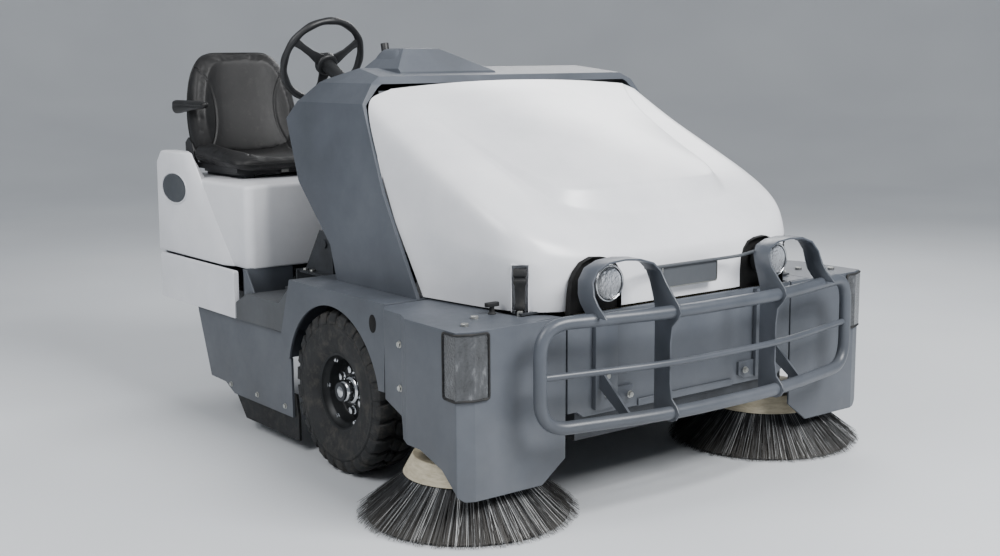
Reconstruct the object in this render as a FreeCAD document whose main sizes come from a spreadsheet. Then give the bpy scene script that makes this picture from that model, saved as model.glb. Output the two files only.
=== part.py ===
"""Ride-on sweeper: a chassis on two front wheels and a steered rear wheel,
with a front hopper that lifts, two side brooms and a main broom.

Axes: +Z up, -Y to the front, +X to the machine's left.  Every sub-part is
drawn about the front axle (Y = 0 on the axle, Z = 0 on the floor, X = 0 on
the centre plane) and placed by the sheet value origin_to_axle, which puts
the origin under the middle of the machine's box.
"""
import FreeCAD, Part
import math
import os
import Sketcher
from FreeCAD import Placement, Rotation, Vector

SIZES = [
    # alias, value, meaning
    ("origin_to_axle", -167.5, "front axle along Y, from the origin"),
    # wheels
    ("tyre_radius", 266, "front tyre outer radius"),
    ("tyre_width", 165, "front tyre width"),
    ("rim_radius", 124, "front rim outer radius"),
    ("wheel_half_track", 667.5, "centre plane of a front wheel, from X = 0"),
    ("axle_radius", 30, "front stub axle radius"),
    ("lug_circle", 68, "radius of the circle of lug nuts"),
    ("rear_tyre_radius", 235, "rear tyre outer radius"),
    ("rear_tyre_width", 150, "rear tyre width"),
    ("rear_rim_radius", 110, "rear rim outer radius"),
    ("rear_axle_y", 1050, "rear axle along Y"),
    ("rear_axle_radius", 15, "rear axle radius"),
    ("stem_radius", 35, "steering stem radius"),
    ("run_gap", 0.05, "radial running clearance of a shaft"),
    ("clear", 1, "clearance between neighbouring covers"),
    # chassis
    ("rail_inner", 470, "inner face of a main rail"),
    ("rail_outer", 530, "outer face of a main rail"),
    ("rail_low", 350, "underside of a main rail"),
    ("rail_high", 430, "top of a main rail"),
    ("rail_front_y", -300, "front end of a rail"),
    ("rail_rear_y", "=bumper_rear_y - 55", "rear end of a rail"),
    ("beam_inner", 575, "inner face of an upper side beam"),
    ("beam_outer", 600, "outer face of an upper side beam"),
    ("beam_low", 560, "underside of an upper side beam"),
    ("deck_low", 540, "underside of the engine deck plate"),
    ("deck_high", 555, "top of the engine deck plate"),
    ("deck_front_y", 640, "front edge of the engine deck plate"),
    # body panels
    ("body_half", 760, "outer face of a fender and of the bumper"),
    ("side_half", 740, "outer face of the engine cover and side door"),
    ("fender_top", 600, "top of the fenders and of the front deck"),
    ("fender_front_y", -319, "front edge of a fender"),
    ("arch_radius", "=tyre_radius + 17", "wheel arch radius"),
    ("panel_wall", 8, "wall of a body panel"),
    ("cover_wall", 12, "wall of a moulded cover"),
    ("corner_front_y", -817, "front face of the corner covers"),
    ("corner_half", 845, "widest point of a corner cover"),
    ("panel_half", 470, "half width of the hopper's front panel"),
    ("bumper_low", 408, "underside of the rear bumper"),
    ("bumper_high", 580, "top of the rear bumper"),
    ("bumper_rear_y", 1345, "rear face of the bumper"),
    # hopper
    ("bin_half", 430, "half width of the hopper bin"),
    ("bin_low", 230, "underside of the hopper bin"),
    ("bin_high", 590, "rim of the hopper bin"),
    ("bin_front_y", -800, "front wall of the hopper bin"),
    ("bin_rear_y", -330, "rear wall of the hopper bin"),
    ("bin_wall", 5, "hopper bin wall"),
    ("arm_inner", 545, "inner face of a lift arm"),
    ("arm_outer", 565, "outer face of a lift arm"),
    ("lift_y", 335, "lift pivot along Y"),
    ("lift_z", 695, "lift pivot height"),
    ("hang_y", -560, "hopper pivot along Y"),
    ("hang_z", 420, "hopper pivot height"),
    ("pivot_radius", 15, "radius of the lift and hopper pivot pins"),
    ("hood_low", 612, "lower edge of the hood"),
    ("hood_wall", 6, "hood wall"),
    ("hood_hinge_y", 10, "hood hinge along Y"),
    ("hood_hinge_z", 1200, "hood hinge height"),
    ("guard_tube", 19, "radius of the guard's tubes"),
    ("guard_rod", 10, "radius of the guard's middle rod"),
    ("guard_high", 610, "centre height of the upper guard tube"),
    ("guard_low", 317, "centre height of the lower guard tube"),
    ("guard_front_y", -991, "centre line of the guard's front"),
    # brooms
    ("side_broom_x", 640, "centre of a side broom, from X = 0"),
    ("side_broom_y", -565, "centre of a side broom along Y"),
    ("side_broom_radius", 332, "side broom bristles at the floor"),
    ("side_disc_radius", 190, "side broom disc radius"),
    ("side_disc_low", 130, "underside of a side broom disc"),
    ("main_broom_y", 400, "main broom axis along Y"),
    ("main_broom_radius", 160, "main broom bristle radius"),
    ("main_core_radius", 70, "main broom core radius"),
    ("main_broom_half", 440, "half length of the main broom"),
    # operator's place
    ("wheel_x", -390, "steering wheel centre along X"),
    ("wheel_y", 638, "steering wheel centre along Y"),
    ("wheel_z", 1313, "steering wheel centre height"),
    ("wheel_ring_radius", 154, "steering wheel ring centre line"),
    ("wheel_grip_radius", 13, "steering wheel grip radius"),
    ("seat_x", -400, "middle of the seat along X"),
    ("seat_half", 243, "half width of the seat cushion"),
    ("floor_low", 500, "underside of the operator's floor"),
    ("floor_high", 510, "top of the operator's floor"),
    ("pocket_z", 880, "floor of the seat pocket in the engine cover"),
]

doc = FreeCAD.newDocument("RideOnSweeper")
sheet = doc.addObject("Spreadsheet::Sheet", "Sizes")
for row, (alias, number, meaning) in enumerate(SIZES, 1):
    sheet.set(f"A{row}", meaning)
    sheet.set(f"B{row}", str(number))
    sheet.setAlias(f"B{row}", alias)
doc.recompute()


class Dim:
    """A length made from sheet cells: its number and its expression."""

    def __init__(self, number, text):
        self.number = float(number)
        self.text = text

    def __add__(self, other):
        other = dim(other)
        return Dim(self.number + other.number, f"({self.text} + {other.text})")

    def __sub__(self, other):
        other = dim(other)
        return Dim(self.number - other.number, f"({self.text} - {other.text})")

    def __mul__(self, other):
        other = dim(other)
        return Dim(self.number * other.number, f"({self.text} * {other.text})")

    def __truediv__(self, other):
        other = dim(other)
        return Dim(self.number / other.number, f"({self.text} / {other.text})")

    def __radd__(self, other):
        return dim(other) + self

    def __rsub__(self, other):
        return dim(other) - self

    def __rmul__(self, other):
        return dim(other) * self

    def __neg__(self):
        return Dim(-self.number, f"(0 - {self.text})")

    def __float__(self):
        return self.number


def dim(value):
    """A number as a Dim; a Dim as it is."""
    if isinstance(value, Dim):
        return value
    return Dim(value, f"({float(value):g})")


class Sizes:
    """Gives each sheet cell as a Dim."""

    def __getattr__(self, alias):
        return Dim(sheet.get(alias), f"Sizes.{alias}")


S = Sizes()
SIDES = (("right", -1), ("left", 1))
subparts = []


def bind(obj, **lengths):
    """Bind properties of an object to lengths; Base_x means Placement.Base.x."""
    for name, value in lengths.items():
        obj.setExpression(name.replace("Base_", "Placement.Base."), dim(value).text)


def subpart(node, obj, x=0, y=0, z=0, turn=None):
    """Name a finished sub-part and place it; y is measured from the front axle."""
    obj.Label = node
    if turn is not None:
        obj.Placement = Placement(Vector(0, 0, 0), turn)
    bind(obj, Base_x=x, Base_y=S.origin_to_axle + y, Base_z=z)
    subparts.append(obj)
    return obj


def origin_plane(body, role):
    for feature in body.Origin.OriginFeatures:
        if feature.Role == role:
            return feature
    raise ValueError(role)


def outline(sketch, points):
    """Closed polygon with every corner bound by its two coordinates."""
    count = len(points)
    corners = [Vector(float(dim(a)), float(dim(b)), 0) for a, b in points]
    for i in range(count):
        sketch.addGeometry(Part.LineSegment(corners[i], corners[(i + 1) % count]), False)
    for i in range(count):
        sketch.addConstraint(Sketcher.Constraint("Coincident", i, 2, (i + 1) % count, 1))
    for i, point in enumerate(points):
        for kind, value in (("DistanceX", dim(point[0])), ("DistanceY", dim(point[1]))):
            index = sketch.addConstraint(
                Sketcher.Constraint(kind, -1, 1, i, 1, value.number))
            sketch.setExpression(f"Constraints[{index}]", value.text)


def plate(name, plane, points, low, high):
    """Body with a polygon padded from low to high along the plane's normal.

    plane YZ pads along +X, XY along +Z and XZ along -Y, where low and high
    are Y values and high is the rear one.
    """
    body = doc.addObject("PartDesign::Body", name)
    sketch = body.newObject("Sketcher::SketchObject", name + "_outline")
    sketch.AttachmentSupport = (origin_plane(body, plane + "_Plane"), [""])
    sketch.MapMode = "FlatFace"
    outline(sketch, points)
    low, high = dim(low), dim(high)
    start = -high if plane == "XZ" else low
    sketch.setExpression("AttachmentOffset.Base.z", start.text)
    pad = body.newObject("PartDesign::Pad", name + "_pad")
    pad.Profile = sketch
    pad.setExpression("Length", (high - low).text)
    sketch.Visibility = False
    return body


def turned(name, points, plane="XY", axis="H_Axis"):
    """Body turned about a sketch axis from a polygon of (along, radius)."""
    body = doc.addObject("PartDesign::Body", name)
    sketch = body.newObject("Sketcher::SketchObject", name + "_outline")
    sketch.AttachmentSupport = (origin_plane(body, plane + "_Plane"), [""])
    sketch.MapMode = "FlatFace"
    outline(sketch, points)
    spin = body.newObject("PartDesign::Revolution", name + "_turn")
    spin.Profile = sketch
    spin.ReferenceAxis = (sketch, [axis])
    spin.Angle = 360
    sketch.Visibility = False
    return body


def box(name, x, y, z):
    """Box from three (low, high) pairs."""
    obj = doc.addObject("Part::Box", name)
    for label, (low, high), axis in (("Length", x, "x"), ("Width", y, "y"), ("Height", z, "z")):
        low, high = dim(low), dim(high)
        obj.setExpression(label, (high - low).text)
        obj.setExpression(f"Placement.Base.{axis}", low.text)
    return obj


AXIS_TURN = {
    "x": Rotation(Vector(0, 1, 0), 90),
    "y": Rotation(Vector(1, 0, 0), -90),
    "z": Rotation(),
}


def rod(name, radius, axis, low, high, at):
    """Cylinder along an axis from low to high; at gives the two other coordinates."""
    obj = doc.addObject("Part::Cylinder", name)
    obj.Placement = Placement(Vector(0, 0, 0), AXIS_TURN[axis])
    low, high = dim(low), dim(high)
    obj.setExpression("Radius", dim(radius).text)
    obj.setExpression("Height", (high - low).text)
    others = iter(at)
    for letter in "xyz":
        value = low if letter == axis else next(others)
        obj.setExpression(f"Placement.Base.{letter}", dim(value).text)
    return obj


def cone(name, low_radius, high_radius, low, high, x, y):
    obj = doc.addObject("Part::Cone", name)
    obj.setExpression("Radius1", dim(low_radius).text)
    obj.setExpression("Radius2", dim(high_radius).text)
    obj.setExpression("Height", (dim(high) - dim(low)).text)
    bind(obj, Base_x=x, Base_y=y, Base_z=low)
    return obj


def fuse(name, pieces):
    if len(pieces) == 1:
        return pieces[0]
    obj = doc.addObject("Part::MultiFuse", name)
    obj.Shapes = pieces
    return obj


def common(name, pieces):
    obj = doc.addObject("Part::MultiCommon", name)
    obj.Shapes = pieces
    return obj


def cut(name, base, tools):
    obj = doc.addObject("Part::Cut", name)
    obj.Base = base
    obj.Tool = fuse(name + "_tools", tools)
    return obj


def group(name, pieces):
    """Separate solids in one sub-part."""
    obj = doc.addObject("Part::Compound", name)
    obj.Links = pieces
    return obj


def span(side, low, high):
    """(low, high) along X on one side of the centre plane."""
    if side > 0:
        return (dim(low), dim(high))
    return (-dim(high), -dim(low))


def shaped(name, shape):
    obj = doc.addObject("Part::Feature", name)
    obj.Shape = shape
    return obj


# --------------------------------------------------------------- chassis

HEAD_BOSS = 60
POST_Y = (300, 340)
HANGER_Y = (-370, -300)
BROOM_PIVOT = (-335, 330)
MAIN_PIVOT = (580, 390)
COVER_HINGE = (1334, 596)
SILL = (722, 731)
DOOR_AXIS = (727, 936.3)


def main_frame():
    pieces = []
    for side_name, s in SIDES:
        tag = "frame_" + side_name
        rail = box(tag + "_rail", span(s, S.rail_inner, S.rail_outer),
                   (S.rail_front_y, S.rail_rear_y), (S.rail_low, S.rail_high))
        pivot = rod(tag + "_pivot_hole", 12 + S.run_gap, "x",
                    *span(s, S.rail_inner - 5, S.rail_outer + 5), MAIN_PIVOT)
        pieces.append(cut(tag + "_rail_cut", rail, [pivot]))
        pieces.append(box(tag + "_outrigger", span(s, S.rail_outer, S.beam_outer),
                          POST_Y, (S.rail_low, S.rail_high)))
        pieces.append(box(tag + "_post", span(s, S.beam_inner, S.beam_outer),
                          POST_Y, (S.rail_high, S.fender_top - S.panel_wall)))
        pieces.append(box(tag + "_beam", span(s, S.beam_inner, S.beam_outer),
                          (S.corner_front_y + 37, POST_Y[1]), (S.beam_low, S.fender_top - S.panel_wall)))
        hanger = box(tag + "_hanger", span(s, S.beam_inner + 5, S.beam_outer - 2),
                     HANGER_Y, (300, S.beam_low))
        hole = rod(tag + "_hanger_hole", 10 + S.run_gap, "x",
                   *span(s, S.beam_inner, S.beam_outer), BROOM_PIVOT)
        pieces.append(cut(tag + "_hanger_cut", hanger, [hole]))
        pieces.append(box(tag + "_axle_block", span(s, S.rail_outer - 60, S.rail_outer),
                          (-60, 60), (S.tyre_radius - 50, S.rail_low)))
        for end, (y0, y1) in enumerate(((640, 700), (1230, 1290))):
            pieces.append(box(f"{tag}_deck_post_{end}", span(s, S.rail_inner, S.rail_outer),
                              (y0, y1), (S.rail_high, S.deck_low)))
        for end, (y0, y1) in enumerate(((345, 375), (640, 670))):
            pieces.append(box(f"{tag}_sill_arm_{end}", span(s, S.rail_outer, SILL[0]),
                              (y0, y1), (S.rail_low, S.rail_low + 30)))
        pieces.append(box(tag + "_sill", span(s, *SILL), (345, 930), (200, S.rail_low + 30)))
        y, z = COVER_HINGE
        ear = plate(tag + "_cover_ear", "YZ",
                    [(S.rail_rear_y, S.deck_high), (y - 30, S.deck_high), (y - 30, S.bumper_high + 2),
                     (y + 10, S.bumper_high + 2), (y + 10, z + 12), (S.rail_rear_y, z + 12)],
                    *span(s, 524, 544))
        ear_hole = rod(tag + "_ear_hole", 8 + S.run_gap, "x", *span(s, 520, 548), COVER_HINGE)
        pieces.append(cut(tag + "_ear_cut", ear, [ear_hole]))
        pieces += stub_axle(side_name, s) + lift_bracket(side_name, s)
    crosses = ((S.rail_inner, S.rail_front_y, S.rail_front_y + 60), (S.rail_inner, 640, 700),
               (S.rail_outer, S.rail_rear_y, S.bumper_rear_y - 40))
    for index, (half, y0, y1) in enumerate(crosses):
        pieces.append(box(f"frame_cross_{index}", (-half, half), (y0, y1), (S.rail_low, S.rail_high)))
    pieces.append(box("frame_rear_bar", (20 - S.body_half, S.body_half - 20),
                      (S.rail_rear_y, S.bumper_rear_y - 40), (S.rail_high, S.deck_high)))
    deck = box("frame_deck", (-S.rail_outer - 30, S.rail_outer + 30),
               (S.deck_front_y, S.rail_rear_y), (S.deck_low, S.deck_high))
    boss = rod("frame_head_boss", HEAD_BOSS, "z", S.deck_low - 30, S.deck_high, (0, S.rear_axle_y))
    bore = rod("frame_head_bore", S.stem_radius + S.run_gap, "z",
               S.deck_low - 40, S.deck_high + 10, (0, S.rear_axle_y))
    pieces.append(cut("frame_head", fuse("frame_deck_boss", [deck, boss]), [bore]))
    subpart("main_frame", fuse("main_frame", pieces))


def stub_axle(side_name, s):
    """Shaft and collar of a front wheel, welded to its axle block."""
    shaft = rod(f"axle_{side_name}_shaft", S.axle_radius - S.run_gap, "x",
                *span(s, S.rail_outer - 5, S.wheel_half_track + 64), (0, S.tyre_radius))
    collar = rod(f"axle_{side_name}_collar", S.axle_radius + 14, "x",
                 *span(s, S.rail_outer - 5, S.wheel_half_track - 61), (0, S.tyre_radius))
    return [shaft, collar]


def lift_bracket(side_name, s):
    """Pair of ears on the upper beam, with the pin of a lift arm."""
    tag = f"lift_bracket_{side_name}"
    foot_top = S.fender_top - S.panel_wall
    ears = []
    for index, (x0, x1) in enumerate(((S.arm_inner - 12, S.arm_inner - 2),
                                      (S.arm_outer + 2, S.arm_outer + 12))):
        ears.append(plate(f"{tag}_ear_{index}", "YZ",
                          [(285, foot_top), (475, foot_top), (370, S.lift_z + 45),
                           (310, S.lift_z + 40), (290, S.lift_z)], *span(s, x0, x1)))
    foot = box(tag + "_foot", span(s, S.arm_inner - 12, S.beam_outer),
               (285, 475), (foot_top - 8, foot_top))
    pin = rod(tag + "_pin", S.pivot_radius - S.run_gap, "x",
              *span(s, S.arm_inner - 18, S.arm_outer + 18), (S.lift_y, S.lift_z))
    return ears + [foot, pin]


def fender(side_name, s):
    tag = f"fender_{side_name}"
    top, wall = S.fender_top, S.panel_wall
    outer = plate(tag + "_outer", "YZ",
                  [(S.fender_front_y, top), (262, top), (326, 412), (300, 330), (-309, 329)],
                  *span(s, S.beam_outer, S.body_half))
    inner = plate(tag + "_inner", "YZ",
                  [(S.fender_front_y + wall, top - wall), (262 - wall, top - wall), (316, 412),
                   (291, 320), (-301, 320)],
                  *span(s, S.beam_inner, S.body_half - wall))
    arch = rod(tag + "_arch", S.arch_radius, "x",
               *span(s, S.beam_inner, S.body_half + 10), (0, S.tyre_radius))
    seat = box(tag + "_seat", span(s, S.beam_inner, S.beam_outer),
               (S.fender_front_y, 262), (top - wall, top))
    body = cut(tag + "_shell", outer, [inner, arch])
    subpart(tag, fuse(tag, [body, seat]))


def lamp_block(name, s):
    """Smoked lens that wraps the outer corner of a cover, let into its wall."""
    plan = [(0, 76), (3.5, 18), (-48, -3.5), (-92, -3.5), (-92, 5), (-51, 5), (-7, 25), (-11, 76)]
    return plate(name, "XY", [(s * (S.corner_half + x), S.corner_front_y + y) for x, y in plan],
                 S.fender_top - 188, S.fender_top - 8)


def corner_cover(side_name, s):
    """Deck with a skirt that wraps the machine's front corner."""
    tag = f"corner_cover_{side_name}"
    top, wall = S.fender_top, S.panel_wall
    front, half = S.corner_front_y, S.corner_half
    plan = [(s * S.beam_outer, -330), (s * (half - 71), -342), (s * (half - 40), -385),
            (s * (half - 33), -485), (s * (half - 7), -545), (s * half, front + 21),
            (s * (half - 49), front), (s * S.beam_outer, front)]
    inside = [(s * (S.beam_outer - 1), -320), (s * (half - 79), -320), (s * (half - 48), -387),
              (s * (half - 41), -488), (s * (half - 15), -547), (s * (half - wall), front + 26),
              (s * (half - 51), front + wall), (s * (S.beam_outer - 1), front + wall)]
    outer = plate(tag + "_outer", "XY", plan, 128, top)
    inner = plate(tag + "_inner", "XY", inside, 100, top - wall)
    under = plate(tag + "_under", "YZ",
                  [(-300, 100), (-300, 335), (-372, 335), (-480, 300), (-490, 236), (-615, 236),
                   (-723, 204), (front + 25, 150), (front + 12, 128), (front + 12, 100)],
                  *span(s, S.beam_outer - 20, half + 20))
    shell = cut(tag + "_shell", outer, [inner, under])
    wing = plate(tag + "_wing", "XZ",
                 [(s * (S.panel_half + 5), top), (s * S.beam_outer, top), (s * S.beam_outer, 128),
                  (s * 563, 128), (s * (S.panel_half + 8), 192)], front, front + wall)
    ledge = box(tag + "_ledge", span(s, S.beam_inner, S.beam_outer),
                (front, -330), (top - wall, top))
    subpart(tag, cut(tag, fuse(tag + "_whole", [shell, wing, ledge]), [lamp_block(tag + "_lamp", s)]))


def corner_lamps():
    subpart("corner_lamps", group("corner_lamps", [
        lamp_block(f"corner_lamp_{side_name}", s) for side_name, s in SIDES]))


# ---------------------------------------------------- cowl and operator

TILT = Rotation(Vector(1, 0, 0), -62.87)
COLUMN_BOOT = 42
SEAM_LOW = (-315, 600)
SEAM_HIGH = (27, 1176)


def cowl():
    """Hollow cowl ahead of the operator, with the hump on its top."""
    side = [SEAM_LOW, (157, 600), (193, 713), (396, 913), (513, 1117), (363, 1249),
            (253, 1287), (60, 1262), (40, 1234), SEAM_HIGH]
    front = [(-640, 600), (640, 600), (640, 905), (606, 1176), (560, 1240), (470, 1290),
             (-470, 1290), (-560, 1240), (-606, 1176), (-640, 905)]
    inner_side = [(-340, 590), (700, 590), (700, 1000), (497, 1104), (352, 1236), (251, 1273),
                  (64, 1249), (20, 1225), (-340, 1225)]
    wall = S.cover_wall
    inner_front = [(-640 + wall, 590), (640 - wall, 590), (640 - wall, 905), (606 - wall, 1170),
                   (552 - wall, 1226), (466, 1277), (-466, 1277), (wall - 552, 1226),
                   (wall - 606, 1170), (wall - 640, 905)]
    outer = common("cowl_outer", [plate("cowl_side", "YZ", side, -700, 700),
                                  plate("cowl_front", "XZ", front, -600, 800)])
    inner = common("cowl_inner", [plate("cowl_side_in", "YZ", inner_side, -690, 690),
                                  plate("cowl_front_in", "XZ", inner_front, -700, 900)])
    hump = common("cowl_hump", [
        plate("cowl_hump_side", "YZ",
              [(110, 1262), (340, 1256), (345, 1275), (300, 1350), (200, 1350), (110, 1275)], -420, 20),
        plate("cowl_hump_front", "XZ",
              [(-405, 1250), (-12, 1250), (-12, 1272), (-185, 1350), (-332, 1350), (-405, 1285)],
              90, 360)])
    hole = rod("cowl_column_hole", COLUMN_BOOT + 0.5, "z", -330, -150, (0, 0))
    holder = group("cowl_column_hole_placed", [hole])
    holder.Placement = Placement(Vector(0, 0, 0), TILT)
    bind(holder, Base_x=S.wheel_x, Base_y=S.wheel_y, Base_z=S.wheel_z)
    subpart("cowl", cut("cowl", fuse("cowl_solid", [cut("cowl_shell", outer, [inner]), hump]),
                        [holder]))


def dash_panel():
    """Instrument panel that closes the cowl towards the operator."""
    panel = plate("dash_plate", "YZ",
                  [(330, 1010), (338, 1004), (497, 1097), (489, 1105)],
                  -S.rail_outer, S.rail_outer)
    ends = []
    for side_name, s in SIDES:
        ends.append(plate(f"dash_end_{side_name}", "YZ",
                          [(60, 1010), (330, 1010), (489, 1105), (400, 1190), (60, 1190)],
                          *span(s, S.rail_outer - 8, S.rail_outer)))
        ends.append(box(f"dash_tab_{side_name}", span(s, S.rail_outer - 2, 614),
                        (240, 334), (1002, 1010)))
    shelf = box("dash_shelf", (-S.rail_outer, S.rail_outer), (-20, 334), (1002, 1010))
    subpart("dash_panel", fuse("dash_panel", [panel, shelf] + ends))


def steering_column():
    shaft = rod("column_tube", 24, "z", -300, -24, (0, 0))
    boot = rod("column_boot", COLUMN_BOOT, "z", -290, -195, (0, 0))
    socket = rod("column_socket", 13 - S.run_gap, "z", -24, -2, (0, 0))
    subpart("steering_column", fuse("steering_column", [shaft, boot, socket]),
            S.wheel_x, S.wheel_y, S.wheel_z, TILT)


def steering_wheel():
    ring = doc.addObject("Part::Torus", "wheel_ring")
    bind(ring, Radius1=S.wheel_ring_radius, Radius2=S.wheel_grip_radius)
    hub = rod("wheel_hub", 36, "z", -22, 12, (0, 0))
    spokes = []
    for index, angle in enumerate((90, 210, 330)):
        spoke = box(f"wheel_spoke_{index}", (28, S.wheel_ring_radius - 4), (-15, 15), (-8, 2))
        holder = doc.addObject("Part::Compound", f"wheel_spoke_turned_{index}")
        holder.Links = [spoke]
        holder.Placement = Placement(Vector(0, 0, 0), Rotation(Vector(0, 0, 1), angle))
        spokes.append(holder)
    solid = fuse("wheel_solid", [ring, hub] + spokes)
    bore = rod("wheel_bore", 13, "z", -30, -1, (0, 0))
    well = rod("wheel_well", 22, "z", 2, 20, (0, 0))
    subpart("steering_wheel", cut("steering_wheel", solid, [bore, well]),
            S.wheel_x, S.wheel_y, S.wheel_z, TILT)
    button = rod("horn_cap", 21.5, "z", 5, 16, (0, 0))
    subpart("horn_button", group("horn_button", [button]), S.wheel_x, S.wheel_y, S.wheel_z, TILT)


def operator_floor():
    """Floor plate, the bulkhead ahead of the feet and the step on each side."""
    pieces = [box("floor_plate", (-S.arm_inner + 5, S.arm_inner - 5),
                  (-268, S.deck_front_y - 2), (S.floor_low, S.floor_high))]
    for side_name, s in SIDES:
        pieces.append(box(f"floor_edge_{side_name}", span(s, S.arm_inner - 5, S.beam_inner - 1),
                          (60, S.deck_front_y - 2), (S.floor_low, S.floor_high)))
        pieces.append(box(f"step_{side_name}", span(s, S.beam_inner - 1, S.body_half - 3),
                          (POST_Y[1] + 1, 575), (S.floor_low, S.floor_high)))
        pieces.append(plate(f"step_panel_{side_name}", "YZ",
                            [(328, 412), (660, 409), (660, 470), (575, 510), (POST_Y[1] + 1, 510),
                             (285, 560), (277, 556)],
                            *span(s, S.body_half - 11, S.body_half - 3)))
    pieces.append(plate("firewall", "YZ",
                        [(-268, S.floor_low), (-262, S.floor_low), (57, 1216), (51, 1216)],
                        -S.rail_outer, S.rail_outer))
    pieces.append(box("floor_riser", (-S.rail_outer, S.rail_outer), (622, 630),
                      (S.floor_high, 570)))
    subpart("operator_floor", fuse("operator_floor", pieces))


def pedal(node, x, y):
    """Foot plate on a short arm that turns on a cross pin in a floor clevis."""
    lug = box(node + "_lug", (-12, 12), (-12, 12), (-12, 30))
    tread = plate(node + "_tread", "YZ", [(8, 24), (0, 17), (-112, 106), (-104, 113)], -38, 38)
    hole = rod(node + "_hole", 5 + S.run_gap, "x", -15, 15, (0, 0))
    subpart(node, cut(node, fuse(node + "_solid", [lug, tread]), [hole]),
            x, y, S.floor_high + 22)


def clevis(node, x, y, z, gap, wall, base):
    """Two ears and a cross pin that carry a pedal or a lever."""
    ears = []
    for index, (x0, x1) in enumerate(((-gap - wall, -gap), (gap, gap + wall))):
        ears.append(box(f"{node}_ear_{index}", (x + x0, x + x1), (y - 13, y + 13), (base, z + 12)))
    pin = rod(node + "_pin", 5, "x", x - gap - wall - 2, x + gap + wall + 2, (y, z))
    return fuse(node + "_clevis", ears + [pin])


def control_brackets():
    """Clevises of the pedals, of the hopper lever and of the parking brake."""
    parts = [clevis(node, x, y, S.floor_high + 22, 13, 9, S.floor_high) for node, x, y in PEDALS]
    parts += [clevis(node, x, y, z, 9, 9, base) for node, x, y, z, base, *_ in LEVERS]
    subpart("control_brackets", group("control_brackets", parts))


PEDALS = (("drive_pedal", -330, 40), ("brake_pedal", -460, 60))


def lever(node, x, y, z, turn, length, grip):
    """Hand lever with a knob, turning on a cross pin at its foot."""
    stem = rod(node + "_stem", 6, "z", 0, length, (0, 0))
    knob = rod(node + "_knob", grip, "z", length - 8, length + 34, (0, 0))
    eye = rod(node + "_eye", 14, "x", -8, 8, (0, 0))
    hole = rod(node + "_hole", 5 + S.run_gap, "x", -10, 10, (0, 0))
    subpart(node, cut(node, fuse(node + "_solid", [stem, knob, eye]), [hole]), x, y, z, turn)


# node, pin's x, y and z, height of its bracket's foot, lean in degrees, length, knob radius
LEVERS = (("control_lever", -281, 374, 1268, 1250, -12, 70, 14),
          ("park_brake_lever", -90, 300, 532, 510, -25, 190, 16))


# ------------------------------------------------------------- hopper

def hopper_bin():
    """Open-topped bin, its rear inlet and the struts that carry the hood hinge."""
    half, wall = S.bin_half, S.bin_wall
    low, high, front, rear = S.bin_low, S.bin_high, S.bin_front_y, S.bin_rear_y
    outer = box("bin_outer", (-half, half), (front, rear), (low, high))
    inner = box("bin_inner", (wall - half, half - wall), (front + wall, rear - wall),
                (low + wall, high + 10))
    inlet = box("bin_inlet", (40 - half, half - 40), (rear - 20, rear + 20), (low + wall, low + 170))
    shell = cut("bin_shell", outer, [inner, inlet])
    pieces = [shell]
    for side_name, s in SIDES:
        tag = f"bin_{side_name}"
        pieces.append(rod(tag + "_pivot", S.pivot_radius - S.run_gap, "x",
                          *span(s, half, S.arm_outer + 3), (S.hang_y, S.hang_z)))
        pieces.append(rod(tag + "_boss", 34, "x", *span(s, half, S.arm_inner - 2),
                          (S.hang_y, S.hang_z)))
        strut = plate(tag + "_strut", "YZ",
                      [(rear - 30, high - 20), (rear - 6, high - 20), (rear - 6, high + 2),
                       (S.hood_hinge_y + 8, S.hood_hinge_z - 5), (S.hood_hinge_y + 7, S.hood_hinge_z + 6),
                       (S.hood_hinge_y - 6, S.hood_hinge_z + 8),
                       (S.hood_hinge_y - 22, S.hood_hinge_z - 6)],
                      *span(s, half - wall - 20, half - wall))
        hole = rod(tag + "_hinge_hole", 4 + S.run_gap, "x", *span(s, half - 40, half + 10),
                   (S.hood_hinge_y, S.hood_hinge_z))
        pieces.append(cut(tag + "_strut_cut", strut, [hole]))
    for side_name, s in SIDES:
        pieces.append(box(f"bin_{side_name}_door_lug", span(s, half - 39, half - wall - 20),
                          (rear - 42, rear - 5), (low + 180, low + 206)))
        tongue = (LATCH_AT[1] - 24, LATCH_AT[1] + 24)
        pieces.append(box(f"bin_{side_name}_ledge", span(s, half, half + 60), (front, -420),
                          (high - 6, high)))
        pieces.append(box(f"bin_{side_name}_riser", span(s, half + 40, half + 60),
                          tongue, (high - 6, S.hood_low - 4)))
        pieces.append(box(f"bin_{side_name}_tongue", span(s, half + 40, LATCH_AT[0] + 12),
                          tongue, (S.hood_low - 10, S.hood_low - 4)))
        pieces.append(latch_clevis(side_name, s))
    for index, y in enumerate((front + 90, front + 300)):
        pieces.append(box(f"bin_tie_{index}", (2 - half, half - 2), (y, y + 12), (high - 12, high)))
    solid = fuse("bin_solid", pieces)
    pin_hole = rod("bin_door_hole", 5 + S.run_gap, "x", 10 - half, half - 10,
                   (S.bin_rear_y - 26, S.bin_low + 192))
    subpart("hopper_bin", cut("hopper_bin", solid, [pin_hole]))


def dump_door():
    """Flap that closes the bin's rear inlet; hung on a rod across its top."""
    half = S.bin_half - 41
    y, z = S.bin_rear_y - 26, S.bin_low + 192
    flap = box("dump_flap", (-half, half), (y - 4, y + 4), (S.bin_low + 8, z))
    barrel = rod("dump_barrel", 10, "x", -half, half, (y, z))
    pin = rod("dump_pin", 5, "x", -half - 14, half + 14, (y, z))
    subpart("dump_door", fuse("dump_door", [flap, barrel, pin]))


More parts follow.
